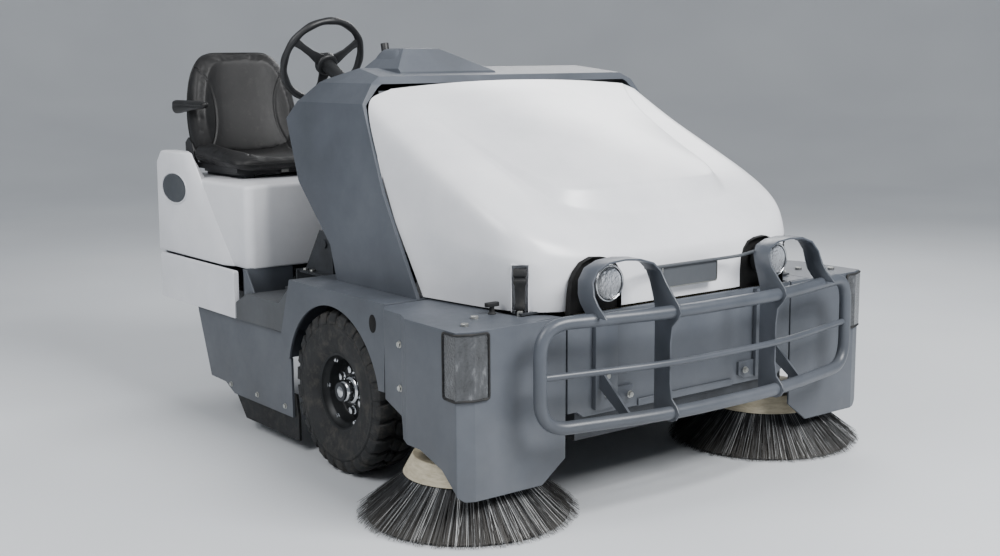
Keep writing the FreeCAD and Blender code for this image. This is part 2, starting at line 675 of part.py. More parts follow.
def front_panel():
    """Panel across the hopper's front, with its two guard bracket plates."""
    half, front = S.panel_half, S.corner_front_y
    face = plate("front_face", "XZ",
                 [(-half, S.fender_top), (half, S.fender_top), (half, 200), (430, 192),
                  (-430, 192), (-half, 200)], front, S.bin_front_y)
    pieces = [face]
    for side_name, s in SIDES:
        pieces.append(box(f"front_bracket_{side_name}", span(s, 325, 395), (front - 8, front),
                          (372, 446)))
    pieces.append(box("front_rib", (-half + 20, half - 20), (front - 12, front), (192, 214)))
    subpart("front_panel", fuse("front_panel", pieces))


def bent_tube(corners, radius, bend):
    """Tube along a polyline whose inner corners are rounded."""
    edges = []
    last = corners[0]
    for before, here, after in zip(corners, corners[1:], corners[2:]):
        into = (here - before).normalize()
        out = (after - here).normalize()
        reach = bend * math.tan(into.getAngle(out) / 2)
        start, stop = here - into * reach, here + out * reach
        middle = (stop + start) / 2 - here
        dip = bend / math.cos(into.getAngle(out) / 2) - bend
        edges.append(Part.LineSegment(last, start).toShape())
        edges.append(Part.Arc(start, here + middle.normalize() * dip, stop).toShape())
        last = stop
    edges.append(Part.LineSegment(last, corners[-1]).toShape())
    path = Part.Wire(edges)
    ring = Part.Wire(Part.Circle(corners[0], (corners[1] - corners[0]), radius).toShape())
    return path.makePipeShell([ring], True, True)


GUARD_BEND = 70


def bumper_guard():
    """Two bowed tubes, a middle rod, end uprights and stays back to the panel."""
    high, low = float(S.guard_high), float(S.guard_low)
    tube = float(S.guard_tube)
    front = float(S.guard_front_y)
    corner_y = front + 84
    frame_y = float(S.corner_front_y)
    loop = []
    for z in (high, low):
        bow = [Vector(-641, corner_y + 4, z), Vector(-225, front, z),
               Vector(225, front, z), Vector(641, corner_y + 4, z)]
        loop.append(bent_tube(bow, tube, GUARD_BEND * 3))
    middle = (high + low) / 2
    rod_bow = [Vector(-641, corner_y + 4, middle), Vector(-225, front, middle),
               Vector(225, front, middle), Vector(641, corner_y + 4, middle)]
    loop.append(bent_tube(rod_bow, float(S.guard_rod), GUARD_BEND * 3))
    for side in (-1, 1):
        foot = Vector(side * 641, corner_y + 4, low)
        loop.append(Part.makeCylinder(tube, high - low, foot, Vector(0, 0, 1)))
        for z in (high, low):
            loop.append(Part.makeSphere(tube, Vector(side * 641, corner_y + 4, z)))
        stay = [Vector(side * 356, y, z) for y, z in ((frame_y - 8, 446), (frame_y - 8, 385),
                                                      (front + 46, low - 12), (front + 36, low + 13))]
        loop.append(Part.Face(Part.makePolygon(stay + stay[:1])).extrude(Vector(side * 8, 0, 0)))
    subpart("bumper_guard", shaped("bumper_guard", loop[0].multiFuse(loop[1:])))


def guard_straps():
    """Flat straps up the guard, each with a hoop round a headlight."""
    back = float(S.guard_front_y) + float(S.guard_tube) + 1.5
    low, high = float(S.guard_low), float(S.guard_high)
    gauge, width = 6, 60
    hoop_y, hoop_low = back + 53, high - 6
    straps = []
    for side in (-1, 1):
        outer = [(240, hoop_low), (240, 700), (275, 742), (362, 760), (440, 748), (477, 710),
                 (477, hoop_low)]
        inner = [(246, high), (246, 697), (279, 736), (362, 754), (437, 742), (471, 707), (471, high)]
        faces = []
        for loop in (outer, inner):
            corners = [Vector(side * x, hoop_y, z) for x, z in loop]
            faces.append(Part.Face(Part.makePolygon(corners + corners[:1])).extrude(Vector(0, width, 0)))
        hoop = faces[0].cut(faces[1])
        pieces = [side_box(side, (219, 225), (back, back + width), (low - 20, high + 30)),
                  side_box(side, (216, 262), (back + 12, hoop_y + 54), (high - 11, high - 4)),
                  side_box(side, (436, 470), (hoop_y + 10, float(S.corner_front_y) - 3),
                           (high - 11, high - 4)),
                  side_box(side, (436, 470), (float(S.corner_front_y) - 6, float(S.corner_front_y)),
                           (high - 60, high - 5.5))]
        straps.append(hoop.multiFuse(pieces))
    subpart("guard_straps", shaped("guard_straps", Part.makeCompound(straps)))


def side_box(side, x, y, z):
    """Plain box shape, mirrored to one side of the centre plane."""
    low = x[0] if side > 0 else -x[1]
    return Part.makeBox(x[1] - x[0], y[1] - y[0], z[1] - z[0], Vector(low, y[0], z[0]))


def nameplate():
    """Blank plate on a bar that runs between the two headlight hoops."""
    reach = 240
    pieces = [box("nameplate_plate", (-117, 117), (-826, -820), (643, 713)),
              box("nameplate_bar", (-reach, reach), (-820, -814), (660, 680))]
    for side_name, s in SIDES:
        pieces.append(box(f"nameplate_end_{side_name}", span(s, reach - 6, reach), (-884, -814),
                          (660, 680)))
    subpart("nameplate", fuse("nameplate", pieces))


def headlights():
    buckets, lenses = [], []
    for side_name, s in SIDES:
        bucket = rod(f"bucket_{side_name}_can", 52, "y", -850, -780, (s * 349, 689))
        hollow = rod(f"bucket_{side_name}_hollow", 45, "y", -851, -800, (s * 349, 689))
        back = box(f"bucket_{side_name}_back", span(s, 262, 440), (-790, -780), (600, 745))
        foot = box(f"bucket_{side_name}_foot", span(s, 300, 398), (-850, -780), (600, 640))
        buckets.append(cut(f"bucket_{side_name}", fuse(f"bucket_{side_name}_solid",
                                                       [bucket, back, foot]), [hollow]))
        lenses.append(rod(f"lens_{side_name}", 45, "y", -852, -800, (s * 349, 689)))
    subpart("headlight_buckets", group("headlight_buckets", buckets))
    subpart("headlight_lenses", group("headlight_lenses", lenses))


def panel_filter():
    """Panel filter lying on the bin's rim."""
    half = S.bin_half - 30
    case = box("filter_case", (-half, half), (-775, -380), (S.bin_high, S.bin_high + 90))
    slots = []
    for index in range(12):
        x = -half + 30 + index * 64
        slots.append(box(f"filter_slot_{index}", (x, x + 34), (-760, -395),
                         (S.bin_high + 40, S.bin_high + 100)))
    subpart("panel_filter", cut("panel_filter", case, slots))


HOOD_SIDE = [(-321, 612), (21, 1176), (21, 1228), (-187, 1186), (-366, 1112), (-520, 1020),
             (-640, 936), (-690, 878), (-765, 812), (-800, 745), (-800, 612)]
HOOD_PLAN = [(624, 40), (624, -322), (602, -560), (560, -690), (470, -765), (330, -800)]
HOOD_FRONT = [(624, 600), (624, 780), (606, 1100), (585, 1176), (530, 1212), (380, 1224), (200, 1228)]


def mirrored(half_points):
    """Polygon through points on +X and their mirror images on -X."""
    return list(half_points) + [(-a, b) for a, b in reversed(half_points)]


def hood():
    """Hollow hood: side, plan and front outlines in common, less the inside."""
    wall = S.hood_wall
    outer = common("hood_outer", [
        plate("hood_side", "YZ", [(y, z) for y, z in HOOD_SIDE], -640, 640),
        plate("hood_plan", "XY", mirrored(HOOD_PLAN), 600, 1240),
        plate("hood_front", "XZ", mirrored(HOOD_FRONT), -900, 100)])
    inner_side = [(-306, 595), (48, 1176), (48, 1221), (-185, 1179), (-363, 1105), (-516, 1013),
                  (-634, 931), (-684, 873), (-759, 808), (-793, 743), (-793, 600)]
    inner_plan = [(618, 50), (618, -321), (596, -557), (555, -686), (467, -759), (329, -793)]
    inner_front = [(618, 590), (618, 779), (600, 1099), (579, 1172), (527, 1206), (379, 1218),
                   (200, 1222)]
    inner = common("hood_inner", [
        plate("hood_side_in", "YZ", inner_side, -640 + wall, 640 - wall),
        plate("hood_plan_in", "XY", mirrored(inner_plan), 590, 1240 - wall),
        plate("hood_front_in", "XZ", mirrored(inner_front), -900, 110)])
    recesses = []
    for side_name, s in SIDES:
        recesses.append(plate(f"hood_recess_{side_name}", "XZ",
                              [(s * 250, 600), (s * 250, 725), (s * 290, 752), (s * 365, 760),
                               (s * 420, 742), (s * 448, 690), (s * 448, 600)], -850, -740))
        notch = box(f"hood_notch_{side_name}_box", (-22 + min(s, 0) * 42, 22 + max(s, 0) * 42),
                    (-12, 40), (-40, 122))
        recesses.append(at_latch(group(f"hood_notch_{side_name}", [notch]), s))
    shell = cut("hood_shell", outer, [inner] + recesses)
    pieces = [shell]
    for side_name, s in SIDES:
        tag = f"hood_{side_name}"
        knuckle = box(tag + "_knuckle", span(s, S.bin_half - 4, S.bin_half + 14),
                      (S.hood_hinge_y - 12, S.hood_hinge_y + 7), (S.hood_hinge_z - 8, 1221))
        pin = rod(tag + "_pin", 4, "x", *span(s, S.bin_half - 28, S.bin_half + 10),
                  (S.hood_hinge_y, S.hood_hinge_z))
        pieces += [knuckle, pin]
    subpart("hood", fuse("hood", pieces))


LATCH_AT = (553.4, -706.5)
LATCH_TURN = 39.8
LATCH_RISE = 10


def at_latch(obj, s):
    """Place something drawn square to a latch, about the latch's pin."""
    obj.Placement = Placement(Vector(0, 0, 0), Rotation(Vector(0, 0, 1), s * LATCH_TURN))
    bind(obj, Base_x=s * LATCH_AT[0], Base_y=LATCH_AT[1], Base_z=S.hood_low + LATCH_RISE)
    return obj


def latch_clevis(side_name, s):
    """Ears and pin of a hood latch, turned square to the hood's corner."""
    tag = f"latch_clevis_{side_name}"
    ears = [box(f"{tag}_ear_{index}", (x0, x0 + 4), (-6, 6), (-18, 6))
            for index, x0 in enumerate((-18, 14))]
    pin = rod(tag + "_pin", 4, "x", -18, 18, (0, 0))
    return at_latch(group(tag, [fuse(tag + "_solid", ears + [pin])]), s)


def latch(side_name, s):
    """Rubber pull latch on the hood's front corner; swings out on its lower pin."""
    node = f"latch_{side_name}"
    strap = box(node + "_strap", (-13, 13), (-2, 8), (0, 96))
    grip = box(node + "_grip", (-16, 16), (-8, 8), (84, 112))
    eye = rod(node + "_eye", 8, "x", -13, 13, (0, 0))
    hole = rod(node + "_hole", 4 + S.run_gap, "x", -15, 15, (0, 0))
    turn = Rotation(Vector(0, 0, 1), s * LATCH_TURN)
    subpart(node, cut(node, fuse(node + "_solid", [strap, grip, eye]), [hole]),
            s * LATCH_AT[0], LATCH_AT[1], S.hood_low + LATCH_RISE, turn)


def lift_arms():
    """The pair of side arms that carry the hopper."""
    pieces = []
    for side_name, s in SIDES:
        tag = f"lift_arm_{side_name}"
        y0, z0, y1, z1 = S.lift_y, S.lift_z, S.hang_y, S.hang_z
        bar = plate(tag + "_bar", "YZ",
                    [(y0 - 8, z0 + 28), (y0 + 8, z0 - 28), (-60, z0 - 150), (y1 + 8, z1 - 28),
                     (y1 - 8, z1 + 28), (-60, z0 - 95)], *span(s, S.arm_inner, S.arm_outer))
        eyes = [rod(tag + "_rear_eye", 30, "x", *span(s, S.arm_inner, S.arm_outer), (y0, z0)),
                rod(tag + "_front_eye", 30, "x", *span(s, S.arm_inner, S.arm_outer), (y1, z1))]
        holes = [rod(tag + "_rear_hole", S.pivot_radius, "x",
                     *span(s, S.arm_inner - 5, S.arm_outer + 5), (y0, z0)),
                 rod(tag + "_front_hole", S.pivot_radius, "x",
                     *span(s, S.arm_inner - 5, S.arm_outer + 5), (y1, z1))]
        pieces.append(cut(tag, fuse(tag + "_solid", [bar] + eyes), holes))
    subpart("lift_arms", group("lift_arms", pieces))


# ------------------------------------------------------------- wheels

def front_wheel(side_name, s):
    half = S.tyre_width / 2
    r, bead = S.tyre_radius, S.rim_radius
    tyre = turned(f"front_tyre_{side_name}",
                  [(12 - half, bead), (2 - half, bead + 40), (-half, r - 52), (8 - half, r - 16),
                   (24 - half, r), (half - 24, r), (half - 8, r - 16), (half, r - 52),
                   (half - 2, bead + 40), (half - 12, bead)])
    subpart(f"front_tyre_{side_name}", tyre, s * S.wheel_half_track, 0, r)
    tag = f"front_rim_{side_name}"
    barrel = turned(tag + "_barrel",
                    [(half - 12, bead), (12 - half, bead), (12 - half, bead - 12),
                     (s * 6 - 8, bead - 14), (s * 6 - 8, 46), (-60, 46), (-60, S.axle_radius),
                     (60, S.axle_radius), (60, 46), (s * 6 + 8, 46), (s * 6 + 8, bead - 14),
                     (half - 12, bead - 12)])
    pieces = [barrel]
    for index in range(5):
        angle = math.radians(72 * index + 18)
        pieces.append(rod(f"{tag}_lug_{index}", 11, "x", *span(s, 12, 34),
                          (S.lug_circle * math.cos(angle), S.lug_circle * math.sin(angle))))
    subpart(tag, fuse(tag, pieces), s * S.wheel_half_track, 0, r)


def rear_wheel():
    half = S.rear_tyre_width / 2
    r, bead = S.rear_tyre_radius, S.rear_rim_radius
    tyre = turned("rear_tyre",
                  [(12 - half, bead), (-half, r - 50), (8 - half, r - 16), (22 - half, r),
                   (half - 22, r), (half - 8, r - 16), (half, r - 50), (half - 12, bead)])
    subpart("rear_tyre", tyre, 0, S.rear_axle_y, r)
    rim = turned("rear_rim",
                 [(half - 12, bead), (12 - half, bead), (12 - half, bead - 12), (-8, bead - 14),
                  (-8, 40), (-70, 40), (-70, S.rear_axle_radius), (70, S.rear_axle_radius),
                  (70, 40), (8, 40), (8, bead - 14), (half - 12, bead - 12)])
    subpart("rear_rim", rim, 0, S.rear_axle_y, r)
    top = S.rear_tyre_radius * 2 + 10
    legs = []
    for side_name, s in SIDES:
        legs.append(box(f"yoke_leg_{side_name}", span(s, half + 8, half + 24),
                        (S.rear_axle_y - 40, S.rear_axle_y + 40), (r - 40, top)))
    crown = box("yoke_crown", (-half - 24, half + 24), (S.rear_axle_y - 60, S.rear_axle_y + 60),
                (top, top + 16))
    stem = rod("yoke_stem", S.stem_radius, "z", top, S.deck_high + 1, (0, S.rear_axle_y))
    cap = rod("yoke_cap", S.stem_radius + 12, "z", S.deck_high + 0.5, S.deck_high + 9,
              (0, S.rear_axle_y))
    pin = rod("yoke_pin", S.rear_axle_radius - S.run_gap, "x", -half - 24, half + 24,
              (S.rear_axle_y, r))
    subpart("rear_yoke", fuse("rear_yoke", legs + [crown, stem, cap, pin]))


# ------------------------------------------------------------- brooms

def side_broom(side_name, s):
    x, y = s * S.side_broom_x, S.side_broom_y
    low = S.side_disc_low
    tag = f"side_broom_{side_name}"
    disc = cone(tag + "_disc_rim", S.side_disc_radius, S.side_disc_radius - 30, low, low + 55, x, y)
    hole = rod(tag + "_disc_hole", 16, "z", low - 5, low + 80, (x, y))
    hub = rod(tag + "_disc_hub", 60, "z", low + 50, low + 68, (x, y))
    subpart(f"side_broom_disc_{side_name}", cut(tag + "_disc", fuse(tag + "_disc_solid", [disc, hub]),
                                                [hole]))
    brush = cone(tag + "_brush", S.side_broom_radius, S.side_disc_radius - 2, 1.5, low, x, y)
    void = cone(tag + "_void", S.side_broom_radius - 110, 80, 1, low + 0.5, x, y)
    subpart(f"side_broom_bristles_{side_name}", cut(tag + "_bristles", brush, [void]))
    pivot_y, pivot_z = BROOM_PIVOT
    motor = rod(tag + "_motor", 55, "z", low + 74, low + 160, (x, y))
    shaft = rod(tag + "_shaft", 16 - S.run_gap, "z", low + 5, low + 80, (x, y))
    collar = rod(tag + "_collar", 30, "z", low + 69, low + 76, (x, y))
    arm = box(tag + "_arm_bar", span(s, S.beam_outer + 2, 680), (y - 50, pivot_y - 12),
              (low + 160, low + 176))
    ear = box(tag + "_arm_ear", span(s, S.beam_outer, S.beam_outer + 16),
              (pivot_y - 40, pivot_y + 16), (low + 160, pivot_z + 16))
    pin = rod(tag + "_arm_pin", 10, "x", *span(s, S.beam_inner + 2, S.beam_outer + 16), BROOM_PIVOT)
    subpart(f"side_broom_arm_{side_name}", fuse(tag + "_arm", [motor, shaft, collar, arm, ear, pin]))


def main_broom():
    y, z = S.main_broom_y, S.main_broom_radius + 1
    half = S.main_broom_half
    core = rod("main_broom_tube", S.main_core_radius, "x", -half, half, (y, z))
    bore = rod("main_broom_bore", 20, "x", -half - 5, half + 5, (y, z))
    subpart("main_broom_core", cut("main_broom_core", core, [bore]))
    brush = rod("main_broom_brush", S.main_broom_radius, "x", 8 - half, half - 8, (y, z))
    hole = rod("main_broom_hole", S.main_core_radius, "x", -half, half, (y, z))
    subpart("main_broom_bristles", cut("main_broom_bristles", brush, [hole]))
    pivot_y, pivot_z = MAIN_PIVOT
    pieces = []
    for side_name, s in SIDES:
        pieces.append(plate(f"main_arm_{side_name}", "YZ",
                            [(y - 30, z - 30), (y + 30, z - 30), (pivot_y + 30, pivot_z - 10),
                             (pivot_y + 22, pivot_z + 24), (pivot_y - 22, pivot_z + 24), (y - 30, z + 30)],
                            *span(s, half + 5, half + 20)))
        pieces.append(rod(f"main_pin_{side_name}", 12, "x", *span(s, half + 5, S.rail_outer - 4),
                          MAIN_PIVOT))
    pieces.append(rod("main_broom_shaft", 20 - S.run_gap, "x", -half - 20, half + 20, (y, z)))
    pieces.append(rod("main_broom_tie", 16, "x", -half - 5, half + 5, (pivot_y, pivot_z)))
    subpart("main_broom_frame", fuse("main_broom_frame", pieces))


def broom_skirts():
    skirts = []
    for side_name, s in SIDES:
        skirts.append(plate(f"broom_skirt_{side_name}", "YZ",
                            [(275, 41), (664, 41), (734, 120), (734, 200), (290, 200), (275, 120)],
                            *span(s, *SILL)))
    subpart("broom_skirts", group("broom_skirts", skirts))


# --------------------------------------------------------------- rear

def rear_bumper():
    half, rear, low, high = S.body_half, S.bumper_rear_y, S.bumper_low, S.bumper_high
    plan = [(-half, 665), (-half, rear - 60), (60 - half, rear), (half - 60, rear),
            (half, rear - 60), (half, 665), (half - 20, 665), (half - 20, rear - 40),
            (20 - half, rear - 40), (20 - half, 665)]
    subpart("rear_bumper", plate("rear_bumper", "XY", plan, low, high))


def door(side_name, s):
    """Broom access door, hinged at the rear end of the side sill."""
    node = f"door_{side_name}"
    points = [(334, 404), (1010, 404), (1006, 385), (918, 154), (801, 151), (734, 120), (300, 120),
              (300, 322), (312, 334)]
    pieces = [plate(node + "_panel", "YZ", points, *span(s, SILL[1] + 0.5, S.side_half))]
    for index, z in enumerate((250, 340)):
        pieces.append(rod(f"{node}_knuckle_{index}", 6, "z", z, z + 34, (s * DOOR_AXIS[0], DOOR_AXIS[1])))
    subpart(node, fuse(node, pieces))


def engine_cover():
    """Tilting cover over the engine, with the pocket that takes the seat."""
    half, wall = S.side_half, S.cover_wall
    low, pocket = S.bumper_high + 5, S.pocket_z
    profile = [(623, low), (623, pocket - 45), (645, pocket - 12), (690, pocket), (916, pocket + 3),
               (1057, 975), (1294, 975), (1336, 930), (1341, low)]
    outer = plate("engine_cover_outer", "YZ", profile, -half, half)
    room = box("engine_cover_room", (wall - half, half - wall), (652, 1329), (low - 5, pocket - wall))
    front = box("engine_cover_front", (wall - half, half - wall), (635, 660), (low - 5, pocket - 62))
    rear_right = box("engine_cover_rear_right", (wall - half, -678), (1080, 1322),
                     (pocket - wall - 1, 962))
    rear_left = box("engine_cover_rear_left", (-122, half - wall), (1080, 1322),
                    (pocket - wall - 1, 962))
    seat = box("engine_cover_pocket", (S.seat_x - 265, S.seat_x + 265), (830, 1400), (pocket, 1100))
    notches = []
    lugs = []
    for side_name, s in SIDES:
        notches.append(box(f"engine_cover_notch_{side_name}", span(s, 521, 547), (1300, 1400),
                           (low - 5, low + 55)))
        y, z = COVER_HINGE
        lugs.append(box(f"engine_cover_lug_{side_name}", span(s, 500, 520), (y - 12, y + 6),
                        (z - 11, z + 14)))
        lugs.append(rod(f"engine_cover_pin_{side_name}", 8, "x", *span(s, 500, 546), COVER_HINGE))
    shell = cut("engine_cover_shell", outer, [room, front, rear_right, rear_left, seat] + notches)
    subpart("engine_cover", fuse("engine_cover", [shell] + lugs))


def engine():
    block = box("engine_block", (-180, 180), (700, 1180), (S.deck_high + 15, 760))
    head = box("engine_head", (-120, 120), (740, 1140), (760, 840))
    feet = []
    for index, (x, y) in enumerate(((-210, 720), (180, 720), (-210, 1120), (180, 1120))):
        feet.append(box(f"engine_foot_{index}", (x, x + 30), (y, y + 40), (S.deck_high, 620)))
    pan = box("engine_pan", (-150, 150), (730, 980), (S.deck_high + 2, S.deck_high + 15))
    pulley = rod("engine_pulley", 80, "y", 660, 700, (0, 670))
    radiator = box("engine_radiator", (-260, 260), (1195, 1255), (S.deck_high, 850))
    shroud = rod("engine_fan_shaft", 40, "y", 1180, 1195, (0, 700))
    subpart("engine", fuse("engine", [block, head, pan, pulley, radiator, shroud] + feet))


def fuel_tank():
    tank = box("fuel_tank_can", (300, 640), (700, 1120), (S.deck_high, 760))
    neck = rod("fuel_tank_neck", 32, "z", 760, 790, (560, 780))
    cap = rod("fuel_tank_cap", 42, "z", 790, 812, (560, 780))
    subpart("fuel_tank", fuse("fuel_tank", [tank, neck, cap]))


def seat():
    x, half = S.seat_x, S.seat_half
    floor = S.pocket_z
    base = floor + 25
    slide = [box(f"seat_rail_{index}", (x + x0, x + x0 + 40), (900, 1220), (floor, base))
             for index, x0 in enumerate((-180, 140))]
    subpart("seat_slide", group("seat_slide", slide))
    pan = box("seat_tray", (x - half + 20, x + half - 20), (880, 1250), (base, base + 20))
    ears = [plate(f"seat_ear_{side_name}", "YZ",
                  [(1195, base), (1290, base), (1290, 1000), (1262, 1020), (1235, 1000)],
                  x + s * (half - 14) - 6, x + s * (half - 14) + 6) for side_name, s in SIDES]
    pin = rod("seat_back_pin", 8, "x", x - half + 8, x + half - 8, SEAT_BACK_AXIS)
    subpart("seat_pan", fuse("seat_pan", [pan, pin] + ears))
    cushion = plate("seat_cushion", "YZ",
                    [(850, base + 8), (876, base + 20), (1192, base + 20), (1192, 955), (900, 966),
                     (858, 955), (846, 930)], x - half, x + half)
    subpart("seat_cushion", cushion)
    back = plate("seat_back_pad", "YZ",
                 [(1213, 975), (1266, 975), (1290, 1040), (1344, 1330), (1335, 1343), (1295, 1343),
                  (1280, 1330), (1225, 1040)], x - half + 24, x + half - 24)
    hole = rod("seat_back_hole", 8 + S.run_gap, "x", x - half, x + half, SEAT_BACK_AXIS)
    stub = rod("armrest_stub", 7, "x", x - half - 22, x - half + 25, ARMREST_AXIS)
    subpart("seat_back", fuse("seat_back", [cut("seat_back_cut", back, [hole]), stub]))


SEAT_BACK_AXIS = (1246, 992)
ARMREST_AXIS = (1285, 1146)


def armrest():
    y, z = ARMREST_AXIS
    x = S.seat_x - S.seat_half
    pad = box("armrest_pad", (x - 42, x - 2), (y - 260, y + 22), (z - 16, z + 20))
    hole = rod("armrest_hole", 7 + S.run_gap, "x", x - 50, x + 5, ARMREST_AXIS)
    subpart("armrest", cut("armrest", pad, [hole]))


# ---------------------------------------------------------- fasteners

def bolts():
    """Hex bolts on the front decks and on the lift brackets."""
    heads = []
    for side_name, s in SIDES:
        for index, (x, y) in enumerate(((770, -737), (685, -667))):
            heads.append(hex_head(f"deck_bolt_{side_name}_{index}", (s * x, y, float(S.fender_top)),
                                  Vector(0, 0, 1), 12, 8))
        for index, y in enumerate((409, 455)):
            heads.append(hex_head(f"bracket_bolt_{side_name}_{index}",
                                  (s * (float(S.arm_outer) + 22), y, float(S.fender_top) - 8),
                                  Vector(0, 0, 1), 10, 7))
    subpart("chassis_bolts", shaped("chassis_bolts", Part.makeCompound(heads)))
    heads = []
    for side_name, s in SIDES:
        for index, x in enumerate((345, 375)):
            heads.append(hex_head(f"guard_bolt_{side_name}_{index}",
                                  (s * x, float(S.corner_front_y) - 8, 432),
                                  Vector(0, -1, 0), 9, 6))
    subpart("hopper_bolts", shaped("hopper_bolts", Part.makeCompound(heads)))


def hex_head(name, at, direction, radius, height):
    """Six-sided bolt head standing on a face."""
    ring = [Vector(radius * math.cos(math.radians(60 * i)), radius * math.sin(math.radians(60 * i)), 0)
            for i in range(7)]
    head = Part.Face(Part.makePolygon(ring)).extrude(Vector(0, 0, height))
    head.Placement = Placement(Vector(*at), Rotation(Vector(0, 0, 1), direction))
    return head


# --------------------------------------------------------------- build

main_frame()
corner_lamps()
cowl()
dash_panel()
steering_column()
steering_wheel()
operator_floor()
control_brackets()
for pedal_name, pedal_x, pedal_y in PEDALS:
    pedal(pedal_name, pedal_x, pedal_y)
for node_name, pin_x, pin_y, pin_z, foot, lean, reach, knob in LEVERS:
    lever(node_name, pin_x, pin_y, pin_z, Rotation(Vector(1, 0, 0), lean), reach, knob)
hopper_bin()
dump_door()
front_panel()
bumper_guard()
guard_straps()
nameplate()
headlights()
panel_filter()
hood()
lift_arms()
rear_wheel()
main_broom()
broom_skirts()
rear_bumper()
engine_cover()
engine()
fuel_tank()
seat()
armrest()
bolts()
for side_label, sign in SIDES:
    fender(side_label, sign)
    corner_cover(side_label, sign)
    latch(side_label, sign)
    front_wheel(side_label, sign)
    side_broom(side_label, sign)
    door(side_label, sign)

doc.recompute()

for obj in doc.Objects:
    if "Invalid" in obj.State or "Error" in obj.State:
        raise RuntimeError(f"{obj.Name} ({obj.Label}) failed: {obj.State}")
for obj in subparts:
    if obj.Shape.isNull() or not obj.Shape.isValid():
        raise RuntimeError(f"{obj.Label} has no valid shape")

os.makedirs("parts", exist_ok=True)
for obj in subparts:
    obj.Shape.exportStep(f"parts/{obj.Label}.step")
print(len(subparts), "sub-parts written")
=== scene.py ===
"""Looks of the ride-on sweeper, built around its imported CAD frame.

Pieces are drawn in millimetres about the front axle (x to the machine's
left, y to the rear, z up from the floor) and written to meshes in metres.
"""
import math
import random

import bmesh
import bpy
from mathutils import Matrix, Vector


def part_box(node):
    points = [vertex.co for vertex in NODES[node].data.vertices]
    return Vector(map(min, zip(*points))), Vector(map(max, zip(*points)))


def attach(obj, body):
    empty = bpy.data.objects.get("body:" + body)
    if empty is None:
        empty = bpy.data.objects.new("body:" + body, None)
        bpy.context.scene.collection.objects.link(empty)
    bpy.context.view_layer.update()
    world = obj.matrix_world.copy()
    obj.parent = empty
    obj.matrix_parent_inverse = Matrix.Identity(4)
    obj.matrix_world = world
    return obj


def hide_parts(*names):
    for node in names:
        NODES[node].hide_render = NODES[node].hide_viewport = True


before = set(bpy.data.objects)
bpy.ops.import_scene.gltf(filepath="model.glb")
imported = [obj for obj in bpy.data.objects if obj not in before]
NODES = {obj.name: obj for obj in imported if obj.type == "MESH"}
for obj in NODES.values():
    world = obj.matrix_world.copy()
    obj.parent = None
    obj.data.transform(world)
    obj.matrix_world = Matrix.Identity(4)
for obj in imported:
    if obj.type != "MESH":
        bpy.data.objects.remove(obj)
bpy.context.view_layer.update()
MM = 0.001
tyre_low, tyre_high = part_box("front_tyre_right")
AXLE_Y = (tyre_low.y + tyre_high.y) / 2
SIDES = (("right", -1), ("left", 1))


def at(x, y, z):
    """A point in millimetres about the front axle, in metres of the frame."""
    return Vector((x * MM, AXLE_Y + y * MM, z * MM))


# ------------------------------------------------------------- materials


def rgb(code):
    """Linear colour of a hex sRGB code."""
    parts = [int(code[i:i + 2], 16) / 255 for i in (0, 2, 4)]
    return tuple(c / 12.92 if c <= 0.04045 else ((c + 0.055) / 1.055) ** 2.4 for c in parts) + (1,)


